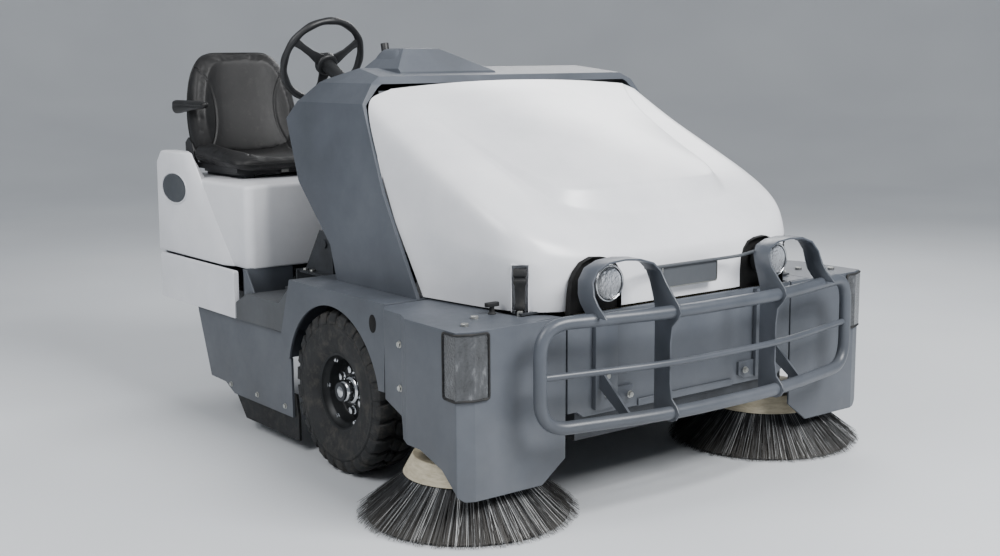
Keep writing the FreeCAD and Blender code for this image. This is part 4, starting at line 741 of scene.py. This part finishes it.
class Strands:
    """Many thin tapering blades gathered in one mesh, each with its own tone."""

    def __init__(self, seed):
        self.random = random.Random(seed)
        self.points, self.faces, self.tones = [], [], []

    def add(self, path, width):
        tone = self.random.random()
        start = len(self.points)
        across = (Vector(path[-1]) - Vector(path[0])).cross(Vector((0, 0, 1)))
        if across.length < 1e-6:
            across = Vector((1, 0, 0))
        across = across.normalized() * width
        depth = Vector((0, 0, width * 0.6))
        for k, p in enumerate(path):
            taper = 1 - 0.35 * k / (len(path) - 1)
            for offset in (-across + depth, across + depth, -depth):
                self.points.append(at(*(Vector(p) + offset * taper)))
                self.tones.append(tone)
        for k in range(len(path) - 1):
            for j in range(3):
                a, b = start + 3 * k + j, start + 3 * k + (j + 1) % 3
                self.faces.append((a, b, b + 3, a + 3))
        self.faces.append((start + 2, start + 1, start))
        last = start + 3 * (len(path) - 1)
        self.faces.append((last, last + 1, last + 2))

    def piece(self, name, body, slot, replaces):
        mesh = bpy.data.meshes.new(name)
        mesh.from_pydata([tuple(p) for p in self.points], [], self.faces)
        tone = mesh.attributes.new("tone", "FLOAT", "POINT")
        tone.data.foreach_set("value", self.tones)
        obj = bpy.data.objects.new(name, mesh)
        bpy.context.scene.collection.objects.link(obj)
        dress(obj, LOOKS["bristles"])
        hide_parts(replaces)
        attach(obj, body)
        return obj


def side_broom(side_name, s):
    low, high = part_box(f"side_broom_bristles_{side_name}")
    cx, cy = (low.x + high.x) / 2 / MM, ((low.y + high.y) / 2 - AXLE_Y) / MM
    reach = (high.x - low.x) / 2 / MM
    strands = Strands(11 if s < 0 else 12)
    draw = strands.random
    rings = ((181, 128, reach - 2, 620), (171, 127, reach - 14, 520), (160, 126, reach - 34, 440),
             (146, 126, reach - 70, 320))
    for root, top, tip, count in rings:
        for k in range(count):
            tuft = (k // 8) * 8 / count * 2 * math.pi
            a = tuft + (k % 8 - 3.5) * 2 * math.pi / count * 0.82 + draw.uniform(-0.006, 0.006)
            swing = a + draw.gauss(0, 0.022)
            far = tip - abs(draw.gauss(0, 9))
            foot = 2.5 + abs(draw.gauss(0, 9)) * (1 if root > 165 else 0.4)
            path = []
            for t in (0, 0.3, 0.62, 1):
                r = root + (far - root) * t
                b = a + (swing - a) * t
                z = top + (foot - top) * (1.04 * t - 0.04 * t * t)
                path.append((cx + r * math.cos(b), cy + r * math.sin(b), z))
            strands.add(path, 1.05)
    strands.piece(f"broom_bristles_{side_name}", f"side_broom_{side_name}", "bristles",
                  f"side_broom_bristles_{side_name}")
    bm = bmesh.new()
    lathe(bm, [(126, 120), (128, 176), (112, 196), (40, 256), (8, 300), (5, 296), (30, 240), (80, 180),
               (100, 120)], (cx, cy, 0), "z", 72, caps=True)
    piece(f"broom_bed_{side_name}", bm, f"side_broom_{side_name}", "bristles", angle=60)


def main_broom():
    low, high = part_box("main_broom_bristles")
    cy, cz = ((low.y + high.y) / 2 - AXLE_Y) / MM, (low.z + high.z) / 2 / MM
    reach, half = (high.y - low.y) / 2 / MM, (high.x - low.x) / 2 / MM
    strands = Strands(21)
    draw = strands.random
    rows, columns = 14, 88
    for row in range(rows):
        for column in range(columns):
            x = -half + 6 + (2 * half - 12) * column / (columns - 1)
            twist = abs(x) / half * 0.55
            a = 2 * math.pi * row / rows + twist
            for _ in range(3):
                b = a + draw.gauss(0, 0.02)
                tip = reach - 2 - abs(draw.gauss(0, 3))
                x1 = x + draw.uniform(-4, 4)
                path = []
                for r in (72, 120, tip):
                    trail = b + (r - 70) * 0.0006
                    path.append((x1, cy + r * math.cos(trail), cz + r * math.sin(trail)))
                strands.add(path, 1.3)
    strands.piece("sweep_bristles", "main_broom", "bristles", "main_broom_bristles")


# ----------------------------------------------------------------- guard

GUARD_STRAP = [
    (222, 290, -985, -925), (222, 298, -1003, -918), (222, 317, -1016, -912), (222, 336, -1006, -912),
    (222, 356, -984, -912), (222, 400, -976, -912), (222, 520, -976, -912), (222, 566, -982, -912),
    (222, 590, -1004, -912), (222, 610, -1016, -912), (222, 630, -1009, -908), (222, 656, -984, -900),
    (222, 690, -955, -888), (227, 722, -938, -876), (246, 744, -928, -868), (288, 757, -921, -862),
    (345, 762, -918, -860), (405, 758, -918, -860), (448, 742, -920, -861), (471, 712, -926, -864),
    (477, 675, -938, -870), (477, 650, -955, -880), (477, 632, -976, -896), (477, 618, -990, -910)]


def guard():
    low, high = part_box("bumper_guard")
    top, foot = high.z / MM - 19, low.z / MM + 19
    end, middle_y = (641, -903), -991
    bm = bmesh.new()
    corners = []
    for z, order in ((top, 1), (foot, -1)):
        corners += [(order * -end[0], end[1], z), (order * -225, middle_y, z), (order * 225, middle_y, z),
                    (order * end[0], end[1], z)]
    path = []
    for index, corner in enumerate(corners):
        p = Vector(corner)
        bend = 88 if index in (0, 3, 4, 7) else 150
        before, after = Vector(corners[index - 1]) - p, Vector(corners[(index + 1) % 8]) - p
        start, finish = p + before.normalized() * bend, p + after.normalized() * bend
        for k in range(11):
            t = k / 10
            path.append(start * (1 - t) ** 2 + p * 2 * t * (1 - t) + finish * t * t)
    sweep(bm, path, 19, 20, closed=True)
    middle = (top + foot) / 2
    sweep(bm, rounded_path([(-end[0] + 4, end[1], middle), (-225, middle_y, middle), (225, middle_y, middle),
                            (end[0] - 4, end[1], middle)], 140), 10, 14)
    for s in (-1, 1):
        prism(bm, [(-825, 446), (-825, 385), (-945, foot - 12), (-960, foot + 13)],
              s * 356, s * 364, "YZ")
        lathe(bm, [(-8, 13), (-6, 15), (6, 15), (8, 13)], (s * (end[0] - 4), end[1], middle), "z", 16,
              caps=True)
    piece("guard_loop", bm, "hopper", "guard_paint", replaces="bumper_guard", angle=50)
    bm = bmesh.new()
    for s in (-1, 1):
        sections = []
        for index, (x, z, y0, y1) in enumerate(GUARD_STRAP):
            before, after = GUARD_STRAP[max(index - 1, 0)], GUARD_STRAP[min(index + 1, len(GUARD_STRAP) - 1)]
            run = Vector((after[0] - before[0], after[1] - before[1])).normalized()
            nx, nz = run.y * 3, -run.x * 3
            sections.append([(s * (x + nx), y0, z + nz), (s * (x - nx), y0, z - nz),
                             (s * (x - nx), y1, z - nz), (s * (x + nx), y1, z + nz)])
        section_loft(bm, sections)
        block(bm, *sorted_box((s * 294, -834, 318), (s * 379, -817, 598)))
        prism(bm, [(s * 294, 318), (s * 294, 372), (s * 226, 372), (s * 226, 330), (s * 250, 318)],
              -826, -817, "XZ")
    piece("guard_hoops", bm, "hopper", "guard_paint", replaces="guard_straps", bevel=1.2,
          segments=2, angle=40)
    bm = bmesh.new()
    for s in (-1, 1):
        for x, z in ((336, 414), (336, 361), (246, 346)):
            bolt(bm, (s * x, -834, z), (0, -1, 0), 15, 9)
    piece("guard_bolts", bm, "hopper", "zinc_bolts", angle=30)


def sorted_box(a, b):
    """Lowest and highest corner of a box from any two opposite corners."""
    return tuple(map(min, a, b)), tuple(map(max, a, b))


# ------------------------------------------------------------ headlights


def headlights():
    low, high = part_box("headlight_lenses")
    z = (low.z + high.z) / 2 / MM
    x = 349
    bm = bmesh.new()
    for s in (-1, 1):
        lathe(bm, [(62, 30), (56, 50), (8, 54), (-3, 54), (-6, 52), (-5, 49), (2, 48)],
              (s * x, -852, z), "y", 56)
    piece("headlight_shells", bm, "hopper", "black_plastic", replaces="headlight_buckets", angle=40,
          solid=1.5)
    bm = bmesh.new()
    for s in (-1, 1):
        lathe(bm, [(0, 48), (10, 43), (22, 32), (30, 18), (32, 2)], (s * x, -852, z), "y", 56, caps=True)
        lathe(bm, [(29, 7), (12, 6), (8, 3)], (s * x, -852, z), "y", 16, caps=True)
    piece("headlight_reflectors", bm, "hopper", "clear_lens", REFLECTOR, angle=60)
    bm = bmesh.new()
    for s in (-1, 1):
        dome = [(-3 - 7 * math.cos(math.pi / 2 * k / 7), 46 * math.sin(math.pi / 2 * k / 7))
                for k in range(1, 8)]
        lathe(bm, [(along, r) for along, r in dome] + [(1, 46)], (s * x, -852, z), "y", 56, caps=True)
    piece("headlight_glass", bm, "hopper", "clear_lens", replaces="headlight_lenses", angle=60)
    bm = bmesh.new()
    for s in (-1, 1):
        sweep(bm, [(s * x + 50 * math.cos(a), -857, z + 50 * math.sin(a))
                   for a in (2 * math.pi * k / 56 for k in range(56))], 3, 8, closed=True)
    piece("headlight_bezels", bm, "hopper", "zinc_bolts", CHROME, angle=60)


# -------------------------------------------------------- corner details


def corner_details():
    low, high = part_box("corner_lamps")
    z0, z1 = low.z / MM - 1, high.z / MM + 1
    front = -817
    for side_name, s in SIDES:
        edge = [(845.5, front + 78), (849.5, front + 19), (797, front - 4.5), (751, front - 4.5)]
        loop = [(s * x, y, z1) for x, y in edge] + [(s * x, y, z0) for x, y in reversed(edge)]
        bm = bmesh.new()
        sweep(bm, rounded_path(loop, 9, closed=True, steps=3), 3.6, 8, closed=True)
        piece(f"lamp_gasket_{side_name}", bm, "chassis", "rubber", angle=60)
        bm = bmesh.new()
        for y, z in ((-477, 512), (-477, 383)):
            bolt(bm, (s * 812.5, y, z), (s, 0, 0), 15, 7)
        piece(f"flange_bolts_{side_name}", bm, "chassis", "zinc_bolts", angle=30)
        bm = bmesh.new()
        oval(bm, (s * 760, -251, 531), 19, 28, s, ((-6, 1), (0.8, 1), (1.3, 0.93), (1.0, 0.05)))
        piece(f"fender_plug_{side_name}", bm, "chassis", "black_plastic", SEAM_BLACK)
        bm = bmesh.new()
        for y, z in ((756, 150), (554, 150), (351, 150)):
            bolt(bm, (s * 740, y, z), (s, 0, 0), 14, 6)
        piece(f"door_bolts_{side_name}", bm, f"door_{side_name}", "zinc_bolts", angle=30)
        bm = bmesh.new()
        lathe(bm, [(0, 12), (3, 12), (5, 8), (20, 7), (24, 9)], (s * 606, -644, 600), "z", 20, caps=True)
        section_loft(bm, [[(s * 606 + dx, -644 + dy, z) for dx, dy in (
            (-20, -9), (20, -9), (24, 0), (20, 9), (-20, 9), (-24, 0))] for z in (622, 630, 634)])
        piece(f"hood_stop_{side_name}", bm, "chassis", "rubber", bevel=2, angle=40)


def latches():
    for side_name, s in SIDES:
        put = latch_place(s)
        bm = bmesh.new()
        sections = []
        for z, wide, front, back in ((-9, 10, -6, 5), (-4, 15, -8, 8), (6, 15, -7, 7), (14, 13, -4, 5),
                                     (40, 14, -4, 5), (62, 15, -4, 6), (70, 18, -7, 7),
                                     (78, 18, -7, 7), (80, 16, -5, 6), (86, 16, -5, 6),
                                     (90, 19, -9, 8), (106, 19, -9, 8), (111, 15, -6, 6)):
            sections.append([put(-wide, front, z), put(wide, front, z), put(wide, back, z),
                             put(-wide, back, z)])
        section_loft(bm, sections)
        piece(f"pull_latch_{side_name}", bm, f"latch_{side_name}", "rubber",
              replaces=f"latch_{side_name}", bevel=1.6, angle=40)
        bm = bmesh.new()
        section_loft(bm, [[put(x, y, z) for x, z in ((-9, -24), (9, -24), (7, -8), (-7, -8))]
                          for y in (-14, -9)])
        piece(f"latch_hook_{side_name}", bm, "hopper", "zinc_bolts", bevel=1.5)


# --------------------------------------------------------- operator's place


def steering_wheel():
    centre = Vector((-390, 638, 1313))
    axis = Vector((0, 0.89, 0.456)).normalized()
    across = Vector((1, 0, 0))
    up = axis.cross(across)

    def put(a, r, lift=0.0):
        return centre + (across * math.cos(a) + up * math.sin(a)) * r + axis * lift

    bm = bmesh.new()
    ring = [put(2 * math.pi * k / 96, 154) for k in range(96)]
    grip = [13 + 0.9 * math.cos(12 * 2 * math.pi * k / 96) for k in range(96)]
    sweep(bm, ring, grip, 14, closed=True)
    for a in (math.radians(d) for d in (90, 210, 330)):
        rows = []
        for r, wide, thick, drop in ((18, 26, 8, -26), (48, 20, 7, -26), (80, 14, 6, -20),
                                     (118, 13, 6, -8), (150, 17, 7, 0)):
            side = (across * -math.sin(a) + up * math.cos(a)) * wide
            mid = put(a, r, drop)
            rows.append([mid - side - axis * thick, mid + side - axis * thick,
                         mid + side * 0.8 + axis * thick, mid - side * 0.8 + axis * thick])
        section_loft(bm, rows)
    rows = []
    for r, lift in ((34, -44), (40, -40), (42, -22), (38, -14), (30, -12)):
        rows.append([put(2 * math.pi * k / 40, r, lift) for k in range(40)])
    section_loft(bm, rows)
    piece("wheel_ring", bm, "steering_wheel", "black_plastic", replaces="steering_wheel",
          bevel=2.2, segments=2, angle=50)


# ------------------------------------------------------------- soft goods


def simulate(obj, pressure, cap, frames=20):
    """Swell a closed mesh with cloth, then keep each point within cap of its start."""
    start = [v.co.copy() for v in obj.data.vertices]
    made = obj.modifiers.new("cloth", "CLOTH")
    cloth = made.settings
    cloth.quality, cloth.mass = 6, 0.3
    cloth.tension_stiffness = cloth.compression_stiffness = 12
    cloth.bending_stiffness = 2
    cloth.use_pressure, cloth.uniform_pressure_force = True, pressure
    cloth.effector_weights.gravity = 0
    scene = bpy.context.scene
    for step in range(1, frames + 1):
        scene.frame_set(step)
    freeze(obj)
    for v, old in zip(obj.data.vertices, start):
        move = v.co - old
        if move.length > cap:
            v.co = old + move.normalized() * cap
    scene.frame_set(1)


def groove(obj, distance, depth, width):
    """Press sewn seams into a cushion: distance(point in mm) gives mm from the seam."""
    mesh = obj.data
    normals = [v.normal.copy() for v in mesh.vertices]
    for v, n in zip(mesh.vertices, normals):
        p = (v.co.x / MM, (v.co.y - AXLE_Y) / MM, v.co.z / MM)
        d = distance(p)
        if d < width:
            v.co -= n * depth * MM * (1 - (d / width) ** 2) ** 2


def cushion(name, sections, body, node, pressure, cap, seams):
    """Closed lofted form, voxel remeshed, swollen by cloth, with pressed seams."""
    bm = bmesh.new()
    section_loft(bm, sections)
    bmesh.ops.recalc_face_normals(bm, faces=bm.faces)
    mesh = bpy.data.meshes.new(name)
    bm.to_mesh(mesh)
    bm.free()
    obj = bpy.data.objects.new(name, mesh)
    bpy.context.scene.collection.objects.link(obj)
    made = obj.modifiers.new("round", "SUBSURF")
    made.levels = made.render_levels = 2
    made = obj.modifiers.new("voxels", "REMESH")
    made.mode, made.voxel_size = "VOXEL", 0.006
    freeze(obj)
    simulate(obj, pressure, cap * MM)
    made = obj.modifiers.new("smooth", "SMOOTH")
    made.factor, made.iterations = 0.5, 4
    made = obj.modifiers.new("subdivide", "SUBSURF")
    made.levels = made.render_levels = 1
    freeze(obj)
    obj.data.update()
    groove(obj, seams, 3.2, 7)
    obj.data.shade_smooth()
    dress(obj, LOOKS["seat_vinyl"])
    if node:
        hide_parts(node)
    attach(obj, body)
    return obj


def settle(path, pad):
    """Move a sewn line's points on to a pad's surface and even them out."""
    laid = []
    for p in path:
        found = pad.closest_point_on_mesh(at(*p))[1]
        laid.append(Vector((found.x / MM, (found.y - AXLE_Y) / MM, found.z / MM)))
    for _ in range(4):
        laid = laid[:1] + [(a + b * 2 + c) / 4 for a, b, c in zip(laid, laid[1:], laid[2:])] + laid[-1:]
    return laid


def seat():
    mid = -404
    back = [  # height, half width, front y at middle, front y at bolster, rear y
        (930, 214, 1202, 1192, 1280), (944, 226, 1206, 1186, 1286), (1000, 234, 1214, 1182, 1298),
        (1070, 238, 1230, 1186, 1310),
        (1150, 232, 1246, 1200, 1322), (1225, 218, 1256, 1218, 1332), (1290, 196, 1264, 1238, 1338),
        (1336, 162, 1270, 1258, 1338), (1352, 122, 1290, 1284, 1330)]
    sections = []
    for z, half, middle_y, bolster_y, rear in back:
        sections.append([
            (mid - half, rear - 34, z), (mid - half * 0.98, bolster_y + 18, z),
            (mid - half * 0.86, bolster_y - 2, z), (mid - half * 0.60, middle_y, z), (mid, middle_y + 2, z),
            (mid + half * 0.60, middle_y, z), (mid + half * 0.86, bolster_y - 2, z),
            (mid + half * 0.98, bolster_y + 18, z), (mid + half, rear - 34, z),
            (mid + half * 0.7, rear, z), (mid, rear + 2, z), (mid - half * 0.7, rear, z)])

    def back_line(z):
        return 128 + 78 * min(abs(z - 1120) / 190, 1) ** 2.2

    back_pad = cushion("back_pad", sections, "seat_back", "seat_back", 3.2, 9,
            lambda p: abs(abs(p[0] - mid) - back_line(p[2])) if p[1] < 1290 else 99)
    base = [  # distance along y, half width, edge height, middle height
        (830, 204, 946, 940), (842, 236, 960, 948), (890, 250, 974, 952), (960, 254, 980, 950),
        (1040, 254, 986, 948), (1120, 252, 996, 950), (1200, 246, 1002, 958), (1226, 226, 992, 956)]
    sections = []
    for y, half, edge, middle in base:
        sections.append([
            (mid - half, y, 918), (mid - half, y, edge - 18), (mid - half * 0.92, y, edge),
            (mid - half * 0.76, y, edge), (mid - half * 0.52, y, middle), (mid, y, middle - 2),
            (mid + half * 0.52, y, middle), (mid + half * 0.76, y, edge), (mid + half * 0.92, y, edge),
            (mid + half, y, edge - 18), (mid + half, y, 918), (mid, y, 914)])

    def base_line(y):
        return 126 + 60 * min(abs(y - 1040) / 190, 1) ** 2.2

    pad = cushion("seat_pad", sections, "seat", "seat_cushion", 3.2, 9,
            lambda p: abs(abs(p[0] - mid) - base_line(p[1])) if p[2] > 930 and p[1] > 868 else 99)
    bm = bmesh.new()
    edge = [(mid - 246, y, z) for y, z in ((1185, 958), (1100, 952), (1000, 946), (900, 940))]
    edge += [(mid - 230, 856, 936), (mid - 180, 843, 934)]
    rim = edge + [(2 * mid - x, y, z) for x, y, z in reversed(edge)]
    sweep(bm, settle(rounded_path(rim, 34, steps=9), pad), 3.4, 8)
    piece("seat_piping", bm, "seat", "seat_vinyl", angle=60)
    bm = bmesh.new()
    top = [(mid - h, y - 50, z) for z, h, _, _, y in back[2:7]] + [(mid - 110, 1290, 1352)]
    path = top + [(2 * mid - x, y, z) for x, y, z in reversed(top)]
    sweep(bm, settle(rounded_path(path, 34, steps=9), back_pad), 3.4, 8)
    piece("back_piping", bm, "seat_back", "seat_vinyl", angle=60)
    bm = bmesh.new()
    rounded_box(bm, (mid - 215, 880, 896), (mid + 215, 1180, 920), 24, 6)
    piece("seat_skirt", bm, "seat", "seat_vinyl", LOOKS["black_plastic"])
    bm = bmesh.new()
    rounded_box(bm, (mid - 40, 870, 899), (mid - 10, 879, 911), 2, 2)
    rounded_box(bm, (mid + 128, 870, 899), (mid + 160, 879, 911), 2, 2)
    piece("seat_catches", bm, "seat", "zinc_bolts")
    low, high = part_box("armrest")
    lo = (low.x / MM, (low.y - AXLE_Y) / MM, low.z / MM)
    hi = (high.x / MM, (high.y - AXLE_Y) / MM, high.z / MM)
    width, middle = (hi[0] - lo[0]) / 2, (hi[0] + lo[0]) / 2
    sections = []
    for y, share, drop in ((lo[1] + 2, 0.62, 20), (lo[1] + 12, 0.92, 30), (lo[1] + 60, 1, 34),
                           (lo[1] + 150, 1, 42), (hi[1] - 60, 1, 54), (hi[1] - 10, 0.96, 60),
                           (hi[1] - 2, 0.8, 52)):
        w, base_z, inset = width * share, hi[2] - drop, 3 if share < 0.95 else 0
        sections.append([(middle - w, y, base_z), (middle - w, y, hi[2] - 9 - inset),
                         (middle - w * 0.6, y, hi[2] - 1 - inset), (middle + w * 0.6, y, hi[2] - 1 - inset),
                         (middle + w, y, hi[2] - 9 - inset), (middle + w, y, base_z)])
    cushion("arm_pad", sections, "armrest", "armrest", 2.0, 3,
            lambda p: abs(p[2] - (hi[2] - 22)) if abs(p[0] - middle) > width * 0.7 else 99)


# ------------------------------------------------------------- body panels


def body_panels():
    low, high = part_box("front_panel")
    half, top = high.x / MM, high.z / MM
    bm = bmesh.new()
    prism(bm, [(-half, top), (half, top), (half, 318), (half - 34, 318), (half - 60, 300),
               (-half + 60, 300), (-half + 34, 318), (-half, 318)], -817, -801, "XZ")
    block(bm, (-200, -823, 300), (200, -817, 322))
    piece("front_sheet", bm, "hopper", "body_grey", replaces="front_panel", bevel=2.5)
    for side_name, s in SIDES:
        bm = bmesh.new()
        outline = [(476, -799), (620, -799), (620, -560), (602, -560), (596, -620), (560, -694),
                   (486, -760)]
        prism(bm, [(s * x, y) for x, y in outline], 588, 599, "XY")
        piece(f"deck_edge_{side_name}", bm, "chassis", "body_grey", bevel=1)
        bm = bmesh.new()
        block(bm, *sorted_box((s * 737, 632, 409), (s * 540, 640, 588)))
        prism(bm, [(640, 585), (612, 585), (560, 512), (640, 480)], s * 730, s * 737, "YZ")
        piece(f"step_back_{side_name}", bm, "chassis", "body_grey", bevel=2)
    low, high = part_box("nameplate")
    z0, z1 = low.z / MM, high.z / MM
    bm = bmesh.new()
    corners = [(-117, z0), (117, z0), (117, z1), (-117, z1)]
    outline = [(p.x, p.z) for p in rounded_path([(x, 0, z) for x, z in corners], 10, closed=True, steps=4)]
    prism(bm, outline, -829, -822, "XZ")
    sweep(bm, rounded_path([(-226, -878, z1 + 16), (-206, -850, z1 + 3), (-150, -833, z1 - 2),
                            (150, -833, z1 - 2), (206, -850, z1 + 3), (226, -878, z1 + 16)], 24), 5, 10)
    piece("blank_nameplate", bm, "hopper", "guard_paint", LOOKS["floor_grey"], replaces="nameplate",
          angle=50)
    bm = bmesh.new()
    sweep(bm, [(x * 0.98, -830, z0 + 35 + (z - z0 - 35) * 0.94) for x, z in outline], 1.6, 6, closed=True)
    piece("nameplate_rim", bm, "hopper", "zinc_bolts", angle=60)
    bm = bmesh.new()
    sections = []
    for z, x0, x1, y0, y1 in ((1246, -412, -6, 104, 352), (1262, -408, -10, 112, 348),
                              (1292, -388, -36, 140, 346), (1322, -366, -100, 172, 342),
                              (1344, -350, -162, 200, 336), (1354, -330, -182, 224, 322)):
        ring = []
        for cx, cy, quarter in ((x1, y1, 0), (x0, y1, 1), (x0, y0, 2), (x1, y0, 3)):
            sx, sy = (1 if cx == x1 else -1), (1 if cy == y1 else -1)
            for k in range(6):
                a = math.pi / 2 * (quarter + k / 5)
                ring.append((cx - sx * 34 + 34 * math.cos(a), cy - sy * 34 + 34 * math.sin(a), z))
        sections.append(ring)
    section_loft(bm, sections)
    piece("cowl_hump", bm, "chassis", "body_grey", subsurf=1, angle=60)


# ------------------------------------------------------ camera and stage


def camera():
    data = bpy.data.cameras.new("camera")
    data.lens, data.sensor_width = 48.94, 36
    obj = bpy.data.objects.new("camera", data)
    yaw, pitch, roll = 0.654, -0.163, -0.007
    ahead = Vector((math.sin(yaw) * math.cos(pitch), math.cos(yaw) * math.cos(pitch), math.sin(pitch)))
    right = Vector((math.cos(yaw), -math.sin(yaw), 0))
    up = right.cross(ahead)
    across = right * math.cos(roll) + up * math.sin(roll)
    above = up * math.cos(roll) - right * math.sin(roll)
    turn = Matrix((across, above, -ahead)).transposed()
    obj.matrix_world = Matrix.Translation(at(-2899.5, -3675.0, 1328.9)) @ turn.to_4x4()
    bpy.context.scene.collection.objects.link(obj)
    bpy.context.scene.camera = obj


def area_light(name, place, aim, size, power):
    data = bpy.data.lights.new(name, "AREA")
    data.shape, data.size, data.size_y, data.energy = "RECTANGLE", size[0], size[1], power
    obj = bpy.data.objects.new(name, data)
    obj.location = place
    obj.rotation_euler = (Vector(aim) - Vector(place)).to_track_quat("-Z", "Y").to_euler()
    bpy.context.scene.collection.objects.link(obj)


def stage():
    world = bpy.data.worlds.new("studio")
    world.use_nodes = True
    world.node_tree.nodes["Background"].inputs["Color"].default_value = (0.93, 0.96, 1, 1)
    world.node_tree.nodes["Background"].inputs["Strength"].default_value = 0.5
    bpy.context.scene.world = world
    area_light("key", (0.6, -4.8, 4.4), (0, 0, 0.6), (3.0, 2.2), 560)
    area_light("fill", (-4.6, -0.6, 4.2), (0, 0.2, 0.6), (2.6, 2.6), 185)
    area_light("rim", (3.5, 2.5, 3.6), (0, 0, 0.8), (3.0, 2.0), 130)
    mesh = bpy.data.meshes.new("floor")
    bm = bmesh.new()
    rows = []
    for radius, height in ((0.01, 0), (6, 0), (9, 0.1), (12, 0.9), (14, 3), (15, 7), (15, 14)):
        rows.append([bm.verts.new((radius * math.cos(a), radius * math.sin(a), height))
                     for a in (2 * math.pi * k / 64 for k in range(64))])
    for first, second in zip(rows, rows[1:]):
        for k in range(64):
            bm.faces.new((first[k], first[k - 1], second[k - 1], second[k]))
    bm.faces.new(rows[0])
    bm.to_mesh(mesh)
    bm.free()
    floor = bpy.data.objects.new("floor", mesh)
    bpy.context.scene.collection.objects.link(floor)
    mesh.shade_smooth()
    f = Finish("studio floor")
    f.colour(f.ramp(f.noise(0.6, 2), (0.3, rgb("C9CCD0")), (0.7, rgb("D2D5D8"))))
    f.rough(f.noise(2.5, 4), 0.6, 0.75)
    dress(floor, f.material)


camera()
stage()
carry_nodes()
hood()
engine_cover()
for side, sign in SIDES:
    front_rim(side, sign)
    side_broom(side, sign)
rear_wheel()
main_broom()
guard()
headlights()
corner_details()
latches()
steering_wheel()
seat()
body_panels()
